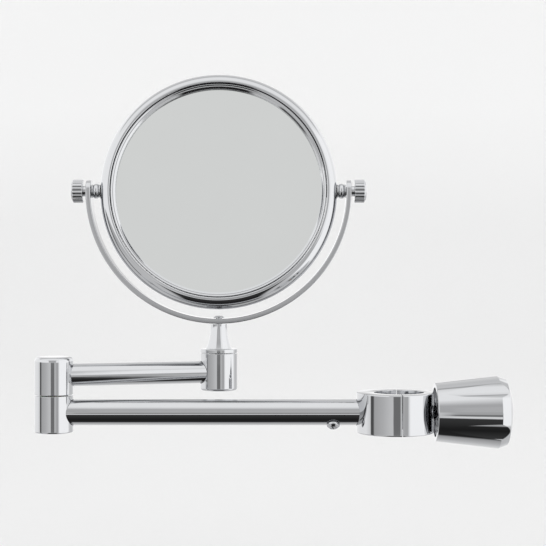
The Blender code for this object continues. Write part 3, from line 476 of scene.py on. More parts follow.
jaw_half = half_ring("clamp_right_half", -pi / 2 + seam, pi / 2 - seam)
pad_low, pad_high = extent("pressure_pad")
spindle_radius = width("clamp_spindle", 1) / 2
SQUARE = ((-1, -1), (1, -1), (1, 1), (-1, 1))
pocket_y, pocket_z = pad_high.y + GAP, pad_high.z + GAP
pocket = skin("pocket", [[(x, y * pocket_y, z * pocket_z) for y, z in SQUARE] for x in (5.0, 17.8)])
carve(jaw_half, pocket, drill(spindle_radius + GAP, 0, 40, along=RIGHT))
dress(jaw_half, chrome, "clamp_and_lower_arm", "clamp_jaw", wall=outer_wall)
print("clamp ring radius", round(ring_radius, 2), "bore", bore_radius)

# %% [markdown]
# ## The arms
# Both arms are drawn tube, cut square and pressed into their sockets. A thin shadow gap shows
# where each tube enters, so the knuckles get real sockets and not just touching surfaces.
# The two knuckles are one bar turned in two pieces: a hair of a seam between them, a soft
# rounded top on the upper one and a plug that hides the pivot bolt underneath.

# %% Tubes
def tube(name, origin, along, radius, wall_mm, low, high):
    return spin(
        name,
        [
            (radius - wall_mm, low, 0.2),
            (radius, low, 0.3),
            (radius, high, 0.3),
            (radius - wall_mm, high, 0.2),
        ],
        origin,
        along,
    )


tube_low, tube_high = extent("lower_arm_tube")
lower_tube = tube(
    "lower_arm", (0, 0, 0), RIGHT, arm_tube_radius, 1.5, tube_low.x, tube_high.x
)
dress(lower_tube, chrome, "clamp_and_lower_arm", "lower_arm_tube")
upper_radius = width("upper_arm_tube", 2) / 2
upper_axis_z = middle("upper_arm_tube").z
arm_length = (swivel - swing).xy.length
socket_inset = 6.8
upper_origin = Vector((swing.x, swing.y, upper_axis_z))
upper_tube = tube(
    "upper_arm",
    upper_origin,
    arm_way,
    upper_radius,
    1.2,
    socket_inset + GAP,
    arm_length - socket_inset - GAP,
)
dress(upper_tube, chrome, "upper_arm", "upper_arm_tube")
print("arm tubes", round(2 * arm_tube_radius, 1), "and", round(2 * upper_radius, 1), "mm")

# %% Knuckles and their plugs
def on_axis(axis):
    """The foot of a vertical axis at height 0."""
    return Vector((axis.x, axis.y, 0))


knuckle_low, knuckle_high = extent("lower_knuckle")
knuckle_radius = (knuckle_high.y - knuckle_low.y) / 2
recess = width("pivot_plug", 1) / 2 + GAP
washer_floor = extent("pivot_friction_washer")[0].z - GAP
washer_hole = width("pivot_friction_washer", 1) / 2 + GAP
bolt_hole = 3.0 + GAP
recess_top = extent("pivot_spring_washer")[1].z + GAP
lower_knuckle = spin(
    "lower_knuckle_skin",
    [
        (recess, knuckle_low.z, 0.2),
        (knuckle_radius, knuckle_low.z, 1.0),
        (knuckle_radius, knuckle_high.z, 0.3),
        (washer_hole, knuckle_high.z, 0.1),
        (washer_hole, washer_floor),
        (bolt_hole, washer_floor),
        (bolt_hole, recess_top),
        (recess, recess_top),
    ],
    on_axis(swing),
)
carve(lower_knuckle, drill(arm_tube_radius + GAP, socket_inset, 40, on_axis(swing), RIGHT, 128))
knuckle_wall = round_wall(on_axis(swing), UP, knuckle_radius)
dress(lower_knuckle, chrome, "clamp_and_lower_arm", "lower_knuckle", wall=knuckle_wall)

upper_knuckle_low, upper_knuckle_high = extent("upper_knuckle")
bolt_end = extent("pivot_bolt")[1].z + GAP
upper_knuckle = spin(
    "upper_knuckle_skin",
    [
        (bolt_hole, upper_knuckle_low.z),
        (knuckle_radius, upper_knuckle_low.z, 0.3),
        (knuckle_radius, upper_knuckle_high.z, 3.2),
        (0, upper_knuckle_high.z),
        (0, bolt_end),
        (bolt_hole, bolt_end),
    ],
    on_axis(swing),
    steps=12,
)
carve(upper_knuckle, drill(upper_radius + GAP, socket_inset, 40, upper_origin, arm_way, 128))
dress(upper_knuckle, chrome, "upper_arm", "upper_knuckle", wall=knuckle_wall)


def plug(name, solid, axis, body):
    """A pressed-in cover disc with a softened rim and a shallow centre dimple."""
    low, high = extent(solid)
    radius = (high.y - low.y) / 2
    dimple = 1.2
    made = spin(
        name,
        [
            (0, low.z + 0.3),
            (dimple, low.z + 0.15, 0.4),
            (dimple + 0.5, low.z, 0.3),
            (radius, low.z, 0.3),
            (radius, high.z, 0.1),
            (0, high.z),
        ],
        on_axis(axis),
        around=96,
    )
    return dress(made, chrome, body, solid)


plug("pivot_cover", "pivot_plug", swing, "clamp_and_lower_arm")
plug("barrel_cover", "barrel_plug", swivel, "upper_arm")
print("knuckle diameter", round(2 * knuckle_radius, 1))

# %% [markdown]
# ## The swivel barrel and the waisted stem
# The barrel at the arm's end is a short bar with its bottom edge rounded over. A thin flange
# sits on it, and from the flange the stem sweeps in to a narrow neck under the yoke. That
# sweep is one curve: the radius falls quickly at first and then runs nearly straight up.

# %% Barrel and stem
barrel_low, barrel_high = extent("swivel_barrel")
barrel_radius = (barrel_high.y - barrel_low.y) / 2
bush_floor = extent("swivel_bush")[0].z - GAP
bush_hole = width("swivel_bush", 1) / 2 + GAP
barrel_recess = width("barrel_plug", 1) / 2 + GAP
recess_roof = barrel_low.z + 5.8
spigot_radius = 4.0
stem_screw_hole = 2.5 + GAP
barrel = spin(
    "swivel_barrel_skin",
    [
        (barrel_recess, barrel_low.z, 0.2),
        (barrel_radius, barrel_low.z, 1.9),
        (barrel_radius, barrel_high.z, 0.3),
        (bush_hole, barrel_high.z, 0.1),
        (bush_hole, bush_floor),
        (stem_screw_hole, bush_floor),
        (stem_screw_hole, recess_roof),
        (barrel_recess, recess_roof),
    ],
    on_axis(swivel),
    steps=10,
)
barrel_socket = Vector((swivel.x, swivel.y, upper_axis_z))
carve(barrel, drill(upper_radius + GAP, socket_inset, 40, barrel_socket, -arm_way, 128))
barrel_wall = round_wall(on_axis(swivel), UP, barrel_radius)
dress(barrel, chrome, "upper_arm", "swivel_barrel", wall=barrel_wall)

stem_low, stem_high = extent("stem")
flange_radius = (stem_high.y - stem_low.y) / 2
flange_low = barrel_high.z + GAP
flange_high = flange_low + 2.6
stem_screw_end = extent("stem_screw")[1].z + GAP
yoke_screw_low, yoke_screw_high = extent("yoke_screw")
yoke_screw_hole = 2.3
foot_radius = 8.15
neck_radius = 5.2
stem_outline = [
    (0, stem_screw_end),
    (stem_screw_hole, stem_screw_end),
    (stem_screw_hole, stem_low.z),
    (spigot_radius, stem_low.z, 0.3),
    (spigot_radius, flange_low),
    (flange_radius, flange_low, 0.35),
    (flange_radius, flange_high, 0.5),
    (foot_radius, flange_high, 0.15),
]
curve_steps = 28
for step in range(1, curve_steps + 1):
    share = step / curve_steps
    radius = neck_radius + (foot_radius - neck_radius) * (1 - share) ** 2
    stem_outline.append((radius, flange_high + (stem_high.z - flange_high) * share))
hole_floor = yoke_screw_low.z - GAP
stem_outline += [(yoke_screw_hole, stem_high.z), (yoke_screw_hole, hole_floor), (0, hole_floor)]
stem = spin("waisted_stem", stem_outline, on_axis(swivel))
dress(stem, chrome, "yoke_assembly", "stem")
print("stem from", round(flange_high, 1), "to", round(stem_high.z, 1))

# %% [markdown]
# ## The yoke
# The yoke is one flat bar, 14 mm wide and 3.2 mm thick, rolled to a half ring, with its two
# ends rounded off above the pivots. A section with soft corners is carried along the bend.
# At the ends the section narrows along a circle, which gives the rounded tip.

# %% Roll the yoke
yoke_low, yoke_high = extent("yoke")
bar_width = yoke_high.y - yoke_low.y
yoke_outer = (yoke_high.x - yoke_low.x) / 2
bar_thickness = 3.2
yoke_middle = yoke_outer - bar_thickness / 2


def yoke_path():
    """Centre, outward direction and half width along the bar."""
    half = bar_width / 2
    tips = [radians(value) for value in (85, 78, 70, 62, 54, 46, 38, 30, 22, 14, 7)]
    path = [((-yoke_middle, half * sin(a)), (-1, 0), half * cos(a)) for a in tips]
    steps = 150
    for step in range(steps + 1):
        angle = pi + pi * step / steps
        out = (cos(angle), sin(angle))
        path.append(((yoke_middle * out[0], yoke_middle * out[1]), out, half))
    path += [((yoke_middle, half * sin(a)), (1, 0), half * cos(a)) for a in reversed(tips)]
    return path


loops = []
thick = bar_thickness / 2
for (x, z), (out_x, out_z), half in yoke_path():
    edge = min(0.7, half * 0.5)
    section = soften(
        [(thick, -half, edge), (thick, half, edge), (-thick, half, edge), (-thick, -half, edge)]
    )
    loops.append(
        [tilt + Vector((x + out_x * p.x, p.y, z + out_z * p.x)) for p in section]
    )
yoke = skin("yoke_bar", loops)
stud_hole = width("thumb_stud_left", 1) / 2 + GAP
carve(yoke, drill(stud_hole, -100, 100, tilt, RIGHT))
dress(yoke, chrome, "yoke_assembly", "yoke")
print("yoke radius", round(yoke_outer, 1))

# %% [markdown]
# ## The frame and its two glasses
# The frame is a half-round ring: its outside bulges in an ellipse, and inside it the glasses
# lie back to back, each held by a thin retaining ring. Between the ring and the frame runs a
# fine groove that shows as a dark line. The plain glass is flat. The one behind is ground
# slightly hollow, so that it magnifies.

# %% Frame
frame_radius = 76.2
frame_bore = 69.3
frame_half = 8.5
lip_round = 0.6
crest = frame_bore + lip_round
bulge = frame_radius - crest
bulge_steps = 56
lip_steps = 8
lip = [(frame_bore, frame_half - lip_round)]
for step in range(1, lip_steps):
    angle = pi / 2 * step / lip_steps
    lip.append((crest - lip_round * cos(angle), frame_half - lip_round * (1 - sin(angle))))
frame_outline = list(lip)
for step in range(bulge_steps + 1):
    angle = pi / 2 - pi * step / bulge_steps
    frame_outline.append((crest + bulge * cos(angle), frame_half * sin(angle)))
frame_outline += [(radius, -height) for radius, height in reversed(lip)]
mirror_ring = spin("half_round_frame", frame_outline, tilt, facing, around=288)
insert_hole = width("pivot_insert_left", 1) / 2 + GAP
carve(mirror_ring, drill(insert_hole, -90, 90, tilt, RIGHT))


def bulge_normal(point, face_normal):
    """Exact normals on the half-round outside of the frame."""
    arm = point - tilt
    height = arm.dot(facing)
    outward = arm - facing * height
    over = outward.length - crest
    if over < 0.02 or abs((over / bulge) ** 2 + (height / frame_half) ** 2 - 1) > 0.02:
        return None
    outward.normalize()
    exact = outward * (over / bulge**2) + facing * (height / frame_half**2)
    exact.normalize()
    return exact if face_normal.dot(exact) > 0.98 else None


dress(mirror_ring, chrome, "mirror", "mirror_frame", wall=bulge_normal)

# %% Glasses and retaining rings
glass_radius = frame_bore - GAP
glass_back = 1.1
glass_front = 4.1
ring_inner = 65.8
ring_height = 3.2


def retaining_ring(name, solid, out):
    """An inner lip, a shallow valley and an outer bead, with a groove left outside it."""
    low = glass_front + GAP
    high = low + ring_height
    valley = high - 0.45
    made = spin(
        name,
        [
            (ring_inner, low, 0.1),
            (glass_radius, low, 0.1),
            (glass_radius, high - 0.6, 0.15),
            (glass_radius - 0.35, high, 0.35),
            (glass_radius - 0.75, high, 0.45),
            (glass_radius - 1.35, valley, 0.25),
            (ring_inner + 1.25, valley, 0.5),
            (ring_inner, valley - 1.3, 0.9),
        ],
        tilt,
        out,
        around=288,
        steps=8,
    )
    return dress(made, chrome, "mirror", solid, sharp=60.0)


retaining_ring("front_retaining_ring", "bezel_front", facing)
retaining_ring("rear_retaining_ring", "bezel_rear", -facing)
plain = spin(
    "plain_mirror",
    [
        (0, glass_back),
        (glass_radius, glass_back, 0.3),
        (glass_radius, glass_front, 0.3),
        (0, glass_front),
    ],
    tilt,
    facing,
    around=288,
)
dress(plain, glass, "mirror", "plain_glass", slot="silvered_glass")
hollow = [(0, glass_back), (glass_radius, glass_back, 0.3), (glass_radius, glass_front, 0.2)]
sag = 0.9
dish_steps = 24
for step in range(dish_steps + 1):
    share = 1 - step / dish_steps
    hollow.append((ring_inner * share, glass_front - sag * (1 - share**2)))
magnifier = spin("magnifying_mirror", hollow, tilt, -facing, around=288)
dress(magnifier, glass, "mirror", "magnifying_glass", slot="silvered_glass")
print("visible glass diameter", 2 * ring_inner)

# %% [markdown]
# ## The tilt pivots
# Each pivot is a stud that runs from the thumb knob through the yoke's eye, through a small
# turned spacer and into the frame. The spacer is a ball between two collars, so it always
# shows a bright point. The thumb knob has a slim neck, a ribbed grip and a domed end.

# %% Spacers
def pivot_span(node):
    """A solid's near and far distance from the mirror's centre."""
    return sorted(abs(corner.x - tilt.x) for corner in extent(node))


def spacer(side, out):
    start, end = pivot_span("pivot_spacer_" + side)
    ball = width("pivot_spacer_" + side, 1) / 2
    collar = 4.3
    neck = 3.55
    lip = 0.8
    corners = [
        (stud_hole, start),
        (collar, start, 0.25),
        (collar, start + lip, 0.3),
        (neck, start + lip + 0.1, 0.1),
    ]
    arc_steps = 20
    span = end - start - 2 * lip - 0.2
    for step in range(1, arc_steps):
        share = step / arc_steps
        bulge_share = sqrt(1 - (2 * share - 1) ** 2)
        corners.append(
            (neck + (ball - neck) * bulge_share, start + lip + 0.1 + span * share)
        )
    corners += [
        (neck, end - lip - 0.1, 0.1),
        (collar, end - lip, 0.3),
        (collar, end, 0.25),
        (stud_hole, end),
    ]
    made = spin("ball_spacer_" + side, corners, tilt, out)
    return dress(made, chrome, "mirror", "pivot_spacer_" + side)


# %% Ribbed thumb knobs
RIBS = 18


def thumb_knob(side, out):
    """Loops along the knob's axis, each with its share of the ribs' full depth."""
    start, end = pivot_span("thumb_knob_" + side)
    grip = width("thumb_knob_" + side, 2) / 2
    dome = 1.6
    back = start + 1.7
    front = end - dome
    neck = 3.4
    stud_end = pivot_span("thumb_stud_right")[1] + GAP
    stations = [(0, stud_end, 0), (stud_hole, stud_end, 0)]
    stations += [(stud_hole, start, 0), (neck, start, 0)]
    stations += [(neck, back, 0), (grip - 0.9, back, 0), (grip - 0.55, back + 0.03, 0.2)]
    stations += [(grip - 0.2, back + 0.2, 0.8), (grip, back + 0.55, 1), (grip, front - 0.6, 1)]
    stations += [(grip - 0.15, front - 0.22, 0.9), (grip - 0.6, front, 0.35)]
    dome_steps = 10
    for step in range(dome_steps + 1):
        share = step / dome_steps
        radius = (grip - 1.0) * cos(share * pi / 2)
        stations.append((radius, front + 0.1 + (dome - 0.1) * sin(share * pi / 2), 0))
    place = axis_frame(tilt, out)
    points_around = RIBS * 16
    groove_depth = 0.5
    loops = []
    for radius, height, share in stations:
        loop = []
        for index in range(points_around):
            angle = 2 * pi * index / points_around
            groove = abs(cos(angle * RIBS / 2)) ** 6
            reach = radius - groove_depth * share * groove
            loop.append(place @ Vector((reach * cos(angle), reach * sin(angle), height)))
        loops.append(loop)
    made = skin("ribbed_thumb_knob_" + side, loops, ring=True)
    return dress(made, chrome, side + "_thumb_knob", "thumb_knob_" + side, sharp=48.0)


for side, out in (("left", -RIGHT), ("right", RIGHT)):
    spacer(side, out)
    thumb_knob(side, out)
print("thumb knobs with", RIBS, "ribs")

# %% [markdown]
# ## The clamp knob
# The big knob is a tapered tap-style handle. It widens to a shoulder, turns in to a bevelled
# end and closes with a shallow domed cap. Five flutes give the hand a grip: each is a lens
# that starts as a point near the rim and is widest at the shoulder. A round cutter that leans
# away from the axis leaves that shape, so the same is done here: a leaning rod is cut out
# five times, and both the cone and the flutes get exact normals. Under the cap the knob is a
# cup, and its back has a shallow recess with a web between the two.

# %% Turn the knob
rim_x = extent("clamp_knob")[0].x
rim_radius = 18.0
shoulder_radius = 22.4
corner_radius = 20.5
cone_length = 38.5
bevel_length = 5.5
dome_rise = 4.1
cap_radius = width("knob_end_cap", 1) / 2
hollow_radius = 15.2
recess_depth = 3.0
web = 3.0
hub_radius = 6.6
knob_screw_hole = 2.3
knob_screw_head = 2.6
spindle_end = extent("clamp_spindle")[1].x - rim_x + GAP
cap_low = extent("knob_end_cap")[0].x - rim_x


def dome_height(radius):
    full = cone_length + bevel_length + dome_rise
    return full - dome_rise * (radius / corner_radius) ** 2


cap_hole = cap_radius + 0.12
screw_floor = extent("knob_screw")[1].x - rim_x - knob_screw_head - GAP
knob = spin(
    "fluted_clamp_knob",
    [
        (hollow_radius, 0, 0.4),
        (rim_radius, 0, 0.8),
        (shoulder_radius, cone_length, 1.2),
        (corner_radius, cone_length + bevel_length, 0.9),
        (cap_hole, dome_height(cap_hole), 0.2),
        (cap_hole, cap_low - GAP),
        (hollow_radius, cap_low - GAP),
        (hollow_radius, recess_depth + web),
        (hub_radius, recess_depth + web),
        (hub_radius, screw_floor),
        (knob_screw_hole, screw_floor),
        (knob_screw_hole, spindle_end),
        (spindle_radius + GAP, spindle_end),
        (spindle_radius + GAP, recess_depth, 0.3),
        (hollow_radius, recess_depth, 0.6),
    ],
    (rim_x, 0, 0),
    RIGHT,
    around=256,
)

# %% Cut the flutes
FLUTES = 5
first_flute = radians(28.0)
cutter_radius = 13.0
flute_depth = 2.0
flute_start = 5.5
slope = (shoulder_radius - rim_radius) / cone_length
start_radius = rim_radius + slope * flute_start
run = cone_length - flute_start
lean = atan2(shoulder_radius - flute_depth - start_radius, run)
flute_axes = []
cutters = []
for index in range(FLUTES):
    angle = first_flute + 2 * pi * index / FLUTES
    out = Vector((0, -cos(angle), -sin(angle)))
    along = (RIGHT * cos(lean) + out * sin(lean)).normalized()
    start = Vector((rim_x + flute_start, 0, 0)) + out * (start_radius + cutter_radius / cos(lean))
    flute_axes.append((start, along))
    cutters.append(drill(cutter_radius, -1.4 * run, 1.4 * run, start, along, 360))
carve(knob, *cutters)
cone_lean = atan2(shoulder_radius - rim_radius, cone_length)
on_surface = 0.02


def knob_normal(point, face_normal):
    """Exact normals for the cone and for each flute."""
    for start, along in flute_axes:
        arm = start - point
        arm -= along * arm.dot(along)
        if abs(arm.length - cutter_radius) < on_surface:
            arm.normalize()
            if face_normal.dot(arm) > 0.995:
                return arm
    out = Vector((0, point.y, point.z))
    height = point.x - rim_x
    on_cone = abs(out.length - rim_radius - slope * height) < 0.03
    if not on_cone or not 0.9 < height < cone_length - 1.3:
        return None
    out.normalize()
    exact = out * cos(cone_lean) - RIGHT * sin(cone_lean)
    return exact if face_normal.dot(exact) > 0.995 else None


dress(knob, chrome, "knob", "clamp_knob", wall=knob_normal, sharp=24.0)

cap_corners = [(0, cap_low), (cap_radius, cap_low)]
cap_steps = 24
for step in range(cap_steps + 1):
    radius = cap_radius * (1 - step / cap_steps)
    cap_corners.append((radius, dome_height(radius), 0.25 if step == 0 else 0))
cap = spin("domed_end_cap", cap_corners, (rim_x, 0, 0), RIGHT, around=256)
dress(cap, chrome, "knob", "knob_end_cap")
print("flutes cut:", FLUTES)

# %% [markdown]
# ## The spindle, the pad and the screws
# The spindle is a thread that pushes a nylon pad against the rail. The thread is drawn as
# rings of its true pitch, 1.25 mm, because a helix of so fine a pitch looks the same. The pad
# has a face hollowed to sit on the rail. The screws have real drives: a cross in the two that
# show, a hexagon socket in those under the clamp and inside its bore.

# %% Spindle
spindle_low, spindle_high = extent("clamp_spindle")
pitch = 1.25
nose_radius = 2.5
root_radius = 3.35
nose_end = pad_high.x + GAP
thread_start = pad_high.x + 0.6
thread_end = jaw_high.x - 0.4
spindle_corners = [
    (0, spindle_low.x),
    (nose_radius, spindle_low.x, 0.4),
    (nose_radius, nose_end),
    (root_radius + 0.05, nose_end, 0.2),
]
turns = int((thread_end - thread_start) / pitch)
for index in range(turns):
    at = thread_start + index * pitch
    spindle_corners += [
        (root_radius, at + 0.1),
        (spindle_radius, at + 0.5, 0.05),
        (spindle_radius, at + 0.68, 0.05),
        (root_radius, at + 1.1),
    ]
hole_floor = extent("knob_screw")[0].x - GAP
spindle_corners += [
    (root_radius, thread_end),
    (spindle_radius, thread_end + 0.5),
    (spindle_radius, spindle_high.x),
    (knob_screw_hole, spindle_high.x),
    (knob_screw_hole, hole_floor),
    (0, hole_floor),
]
spindle = spin("clamp_screw_spindle", spindle_corners, (0, 0, 0), RIGHT, around=96, steps=3)
dress(spindle, chrome, "knob", "clamp_spindle")

# %% Pad
pad_loops = []
pad_steps = 24
pad_hollow = 0.55
for step in range(pad_steps + 1):
    side = -1 + 2 * step / pad_steps
    y = side * pad_high.y
    inset = 0.4 if abs(side) == 1 else 0.0
    face = pad_low.x + pad_hollow * (1 - side**2) + inset
    section = soften(
        [
            (face, pad_low.z + inset, 0.8),
            (pad_high.x - inset, pad_low.z + inset, 0.5),
            (pad_high.x - inset, pad_high.z - inset, 0.5),
            (face, pad_high.z - inset, 0.8),
        ]
    )
    pad_loops.append([(p.x, y, p.y) for p in section])
pad = skin("nylon_pressure_pad", pad_loops)
carve(pad, drill(nose_radius + GAP, pad_low.x + 0.85, pad_high.x + 2, along=RIGHT))
dress(pad, nylon, "pad", "pressure_pad", slot="white_nylon")

# %% Screws with a drive
def cross_tool(origin, along, span, depth, turn):
    """Two crossed wedges that cut a cross recess, widest at the top."""
    place = axis_frame(Vector(origin), Vector(along)) @ Matrix.Rotation(turn, 4, "Z")
    tools = []
    for quarter in (0, pi / 2):
        spun = place @ Matrix.Rotation(quarter, 4, "Z")
        loops = []
        for height, reach, half in ((-depth, span * 0.25, 0.22), (0.5, span * 0.56, 0.5)):
            loops.append([spun @ Vector((x * reach, y * half, height)) for x, y in SQUARE])
        tools.append(skin("cross", loops))
    return tools


def hex_tool(origin, along, across, depth):
    """A six-sided rod that cuts a hexagon socket."""
    corners = [(0, -depth), (across / sqrt(3), -depth), (across / sqrt(3), 1.0), (0, 1.0)]
    return spin("hexagon", corners, origin, along, around=6)


def screw(name, head_radius, head_height, shank_radius, length, origin, along, domed=False):
    """A screw whose head stands on origin and whose shank runs against along."""
    crown = head_height * (0.55 if domed else 0.15)
    corners = [
        (0, -length),
        (shank_radius, -length, 0.3),
        (shank_radius, 0),
        (head_radius, 0, 0.15),
        (head_radius, head_height - crown, head_radius * 0.5 if domed else 0.3),
    ]
    if domed:
        corners.append((head_radius * 0.6, head_height - crown * 0.12, head_radius * 0.3))
    else:
        corners.append((head_radius - crown, head_height, 0.1))
    corners.append((0, head_height))
    return spin(name, corners, origin, along, around=96)


lean_screw = radians(30.0)
fix_out = Vector((0, -sin(lean_screw), -cos(lean_screw)))
fix_seat = RIGHT * middle("arm_fixing_screw").x + fix_out * (arm_tube_radius + 0.1)
fixing = screw("cross_head_fixing_screw", 4.1, 2.7, 1.6, 9.0, fix_seat, fix_out, True)
carve(fixing, *cross_tool(fix_seat + fix_out * 2.6, fix_out, 4.6, 1.5, radians(20)))
dress(fixing, screw_chrome, "clamp_and_lower_arm", "arm_fixing_screw", slot="plated_screw")

yoke_head_radius = width("yoke_screw", 1) / 2
head = 1.6
yoke_seat = Vector((swivel.x, swivel.y, yoke_screw_high.z - head))
yoke_screw = screw("cross_head_yoke_screw", yoke_head_radius, head, 2.0, 12.0, yoke_seat, UP, True)
carve(yoke_screw, *cross_tool(yoke_seat + UP * 1.55, UP, 4.0, 0.9, radians(30)))
dress(yoke_screw, screw_chrome, "yoke_assembly", "yoke_screw", slot="plated_screw")

head = 2.4
for side, spot in zip(("front", "rear"), screw_spots):
    node_low, node_high = extent("jaw_screw_" + side)
    seat = spot + UP * (node_low.z + head)
    made = screw("socket_screw_" + side, screw_radius, head, 1.5, node_high.z - seat.z, seat, -UP)
    carve(made, hex_tool(seat - UP * head, -UP, 2.5, 1.3))
    dress(made, zinc_steel, "clamp_and_lower_arm", "jaw_screw_" + side, slot="plain_steel")
head = 2.6
bolt_seat = Vector((bolt_high.x - head, 0, 0))
bolt = screw("socket_arm_bolt", bolt_head_radius, head, 2.5, 17.0, bolt_seat, RIGHT)
carve(bolt, hex_tool(bolt_seat + RIGHT * head, RIGHT, 4.0, 1.5))
dress(bolt, zinc_steel, "clamp_and_lower_arm", "arm_bolt", slot="plain_steel")
print("screws made")

# %% [markdown]
# ## The solids that stay
# Washers, inserts, studs and the bush are hidden in the joints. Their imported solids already
# have the right shape, so they only get their finish.

# %% Dress the hidden solids
kept_solids = [
    (zinc_steel, ("pivot_spring_washer", "pivot_bolt", "stem_screw", "knob_screw")),
    (zinc_steel, ("thumb_stud_left", "thumb_stud_right")),
    (brass, ("arm_insert", "pivot_insert_left", "pivot_insert_right")),
    (nylon, ("pivot_friction_washer", "swivel_bush", "stem_washer")),
    (board, ("backing_disc",)),
]
for finish, names in kept_solids:
    for name in names:
        solid = frame["nodes"][name]
        solid.data.materials.clear()
        solid.data.materials.append(finish)
print("solids kept:", sum(len(names) for finish, names in kept_solids))

# %% [markdown]
# ## The studio tent
# Chrome has no look of its own: it shows the room. The room here is a pale tent with a
# ceiling light, a large soft light at the right, a dark table edge below and in front, and a
# dark slit at the left where the tent opens. Two curves hold the brightness by angle: one round
# the horizon and one over the top. Patches are then laid over them: white cloth at both sides,
# the sheet in front that the glass shows, the soft light and the slit.

# %% World light by direction
world = bpy.data.worlds.new("studio_tent")
bpy.context.scene.world = world
world.use_nodes = True
sky = world.node_tree
sky.nodes.clear()
way = add(sky, "ShaderNodeTexCoord").outputs["Generated"]
axes = add(sky, "ShaderNodeSeparateXYZ", {"Vector": way})
to_front = add(sky, "ShaderNodeMath", {0: axes.outputs["Y"], 1: -1.0}, operation="MULTIPLY")


def curve_by_angle(rise, across, stops):
    """Brightness by the angle of two direction parts, from stops of (degrees, value)."""
    angle = add(sky, "ShaderNodeMath", {0: rise, 1: across}, operation="ARCTAN2")
    turn = add(sky, "ShaderNodeMapRange", {"Value": angle, "From Min": -pi, "From Max": pi})
    ramp = add(sky, "ShaderNodeValToRGB", {"Fac": turn})
    bar = ramp.color_ramp
    while len(bar.elements) > 1:
        bar.elements.remove(bar.elements[0])
    for index, (degrees, value) in enumerate(stops):
        position = (degrees + 180) / 360
        element = bar.elements[0] if index == 0 else bar.elements.new(position)
        element.position = position
        element.color = (value, value, value, 1)
    return ramp


def patch(limits):
    """1 inside all the limits (value, low, high, softness), 0 outside, with soft edges."""
    inside = 1.0
    for value, low, high, soft in limits:
        for start, full in ((low - soft, low + soft), (high + soft, high - soft)):
            edge = add(
                sky,
                "ShaderNodeMapRange",
                {"Value": value, "From Min": start, "From Max": full},
                interpolation_type="SMOOTHSTEP",
            )
            inside = add(sky, "ShaderNodeMath", {0: inside, 1: edge}, operation="MULTIPLY")
    return inside


horizon = curve_by_angle(
    axes.outputs["X"],
    to_front.outputs[0],
    [
        (-180, 1.15), (-100, 1.25), (-83, 1.0), (-79, 0.15),
        (-73, 0.15), (-68, 0.58), (-40, 0.7), (-20, 0.84),
        (4, 0.92), (6.5, 0.15), (8.5, 0.15), (11, 0.85),
        (24, 0.62), (33, 0.6), (40, 1.35), (56, 1.75),
        (75, 1.55), (102, 1.4), (112, 0.95), (130, 0.8),
        (150, 0.95), (180, 1.15),
    ],
)
over_top = curve_by_angle(
    axes.outputs["Z"],
    to_front.outputs[0],
    [
        (-180, 1.05), (-130, 0.85), (-108, 0.62), (-98, 0.5),
        (-91, 0.03), (-60, 0.02), (-30, 0.05), (-17, 0.06),
        (-15, 1.1), (-10, 1.1), (-8, 0.25), (-4, 0.25),
        (-2, 0.6), (30, 0.65), (42, 1.0), (52, 1.28),
        (84, 1.3), (101, 1.15), (107, 0.5), (113, 0.9),
        (130, 0.85), (180, 1.05),
    ],
)
left_right, up_down = axes.outputs["X"], axes.outputs["Z"]
sideways = add(sky, "ShaderNodeMath", {0: left_right}, operation="ABSOLUTE")
azimuth = add(sky, "ShaderNodeMath", {0: left_right, 1: to_front}, operation="ARCTAN2")
softbox_angles = (radians(42), radians(103))
slit_angles = (radians(-81), radians(-71))
far = 2.0

# From the first to the last, each layer covers the ones before it where its patch is 1.
layers = [
    (patch([(sideways, 0.40, far, 0.06), (up_down, -far, -0.12, 0.08)]), 0.8),
    (patch([(up_down, -0.24, 0.09, 0.06)]), horizon),
    (patch([(left_right, -0.16, 0.20, 0.03), (to_front, 0.1, far, 0.1)]), over_top),
    (patch([(sideways, 0.36, far, 0.05), (up_down, 0.02, 0.6, 0.02)]), 1.35),
    (patch([(left_right, -0.14, 0.14, 0.03), (up_down, 0.10, 0.38, 0.03)]), 0.69),
    (patch([(azimuth, *softbox_angles, radians(4)), (up_down, -0.55, 0.66, 0.05)]), 1.5),
    (patch([(azimuth, *slit_angles, radians(1.5)), (up_down, -0.7, 0.02, 0.03)]), 0.12),
    (add(sky, "ShaderNodeLightPath").outputs["Is Camera Ray"], 0.83),
]
tent = over_top
for area, value in layers:
    tent = add(
        sky, "ShaderNodeMix", {"Factor": area, "A": tent, "B": value}, data_type="FLOAT"
    )
glow = add(sky, "ShaderNodeBackground", {"Color": tent, "Strength": 1.0})
add(sky, "ShaderNodeOutputWorld", {"Surface": glow})
print("world nodes:", len(sky.nodes))
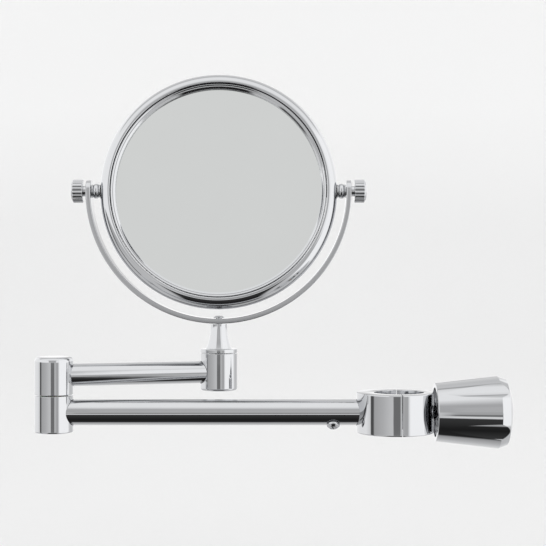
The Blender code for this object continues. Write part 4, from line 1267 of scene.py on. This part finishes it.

# %% [markdown]
# ## Floor, backdrop and camera
# The floor and the wall behind are pale paint, and a painted glow in the paint, not a lamp,
# brightens them towards the top. They catch the soft light and fade to the world's own pale
# tone. Polished metal should show the tent and not these two sheets, so they are hidden from
# reflections. The camera stands level, 0.8 m away, with a long lens.

# %% Floor and backdrop
def pale_paint():
    made, tree, shader = blank_finish("pale_matt_paint_with_painted_glow")
    place = add(tree, "ShaderNodeTexCoord").outputs["Object"]
    roller = add(tree, "ShaderNodeTexNoise", {"Vector": place, "Scale": 1 / (3 * MM), "Detail": 3.0})
    tones = {"A": linear("#E5E5E5"), "B": linear("#E7E7E7")}
    colour = add(tree, "ShaderNodeMix", {"Factor": roller, **tones}, data_type="RGBA")
    # Painted light: an emission glow, not a lamp, brightens the sheet towards its top.
    height = add(tree, "ShaderNodeSeparateXYZ", {"Vector": place}).outputs["Z"]
    painted_glow_climb = {"From Min": 0.0, "From Max": 0.25, "To Min": 0.0, "To Max": 0.12}
    painted_glow = add(tree, "ShaderNodeMapRange", {"Value": height, **painted_glow_climb})
    # This emission is the painted glow on the sheet, not light from a lamp.
    light = {"Emission Color": (1, 1, 1, 1), "Emission Strength": painted_glow}
    fill(tree, shader, {"Base Color": colour, "Roughness": 0.9, **light})
    # Seen from behind, the sheet is clear, so that it never hides the object.
    clear = add(tree, "ShaderNodeBsdfTransparent")
    behind = add(tree, "ShaderNodeNewGeometry").outputs["Backfacing"]
    two_faced = add(tree, "ShaderNodeMixShader", {0: behind, 1: shader, 2: clear})
    output = next(item for item in tree.nodes if item.type == "OUTPUT_MATERIAL")
    fill(tree, output, {"Surface": two_faced})
    return made


paint = pale_paint()
floor_z = cad_box[0].z - 0.12
cove_start = 0.20
cove_radius = 0.28
wall_top = 1.6
half_width = 2.5
profile = [(-half_width, floor_z)]
cove_steps = 32
for step in range(cove_steps + 1):
    angle = pi / 2 * step / cove_steps
    profile.append(
        (cove_start + cove_radius * sin(angle), floor_z + cove_radius * (1 - cos(angle)))
    )
profile.append((cove_start + cove_radius, wall_top))
points = [(x, y, z) for y, z in profile for x in (-half_width, half_width)]
faces = [(i, i + 1, i + 3, i + 2) for i in range(0, len(points) - 2, 2)]
sweep_mesh = bpy.data.meshes.new("backdrop")
sweep_mesh.from_pydata(points, [], faces)
sweep_mesh.shade_smooth()
sweep_mesh.materials.append(paint)
backdrop = bpy.data.objects.new("backdrop", sweep_mesh)
bpy.context.scene.collection.objects.link(backdrop)
backdrop.visible_glossy = False
print("backdrop curves up", round(cove_start, 2), "m behind the object")

# %% Camera
camera = bpy.data.objects.new("camera", bpy.data.cameras.new("camera"))
bpy.context.scene.collection.objects.link(camera)
camera.location = (-0.0781, -0.800, 0.0864)
camera.rotation_euler = (radians(90), 0, 0)
camera.data.lens = 85
camera.data.sensor_width = 36
bpy.context.scene.camera = camera
bpy.context.scene.view_settings.view_transform = "Standard"
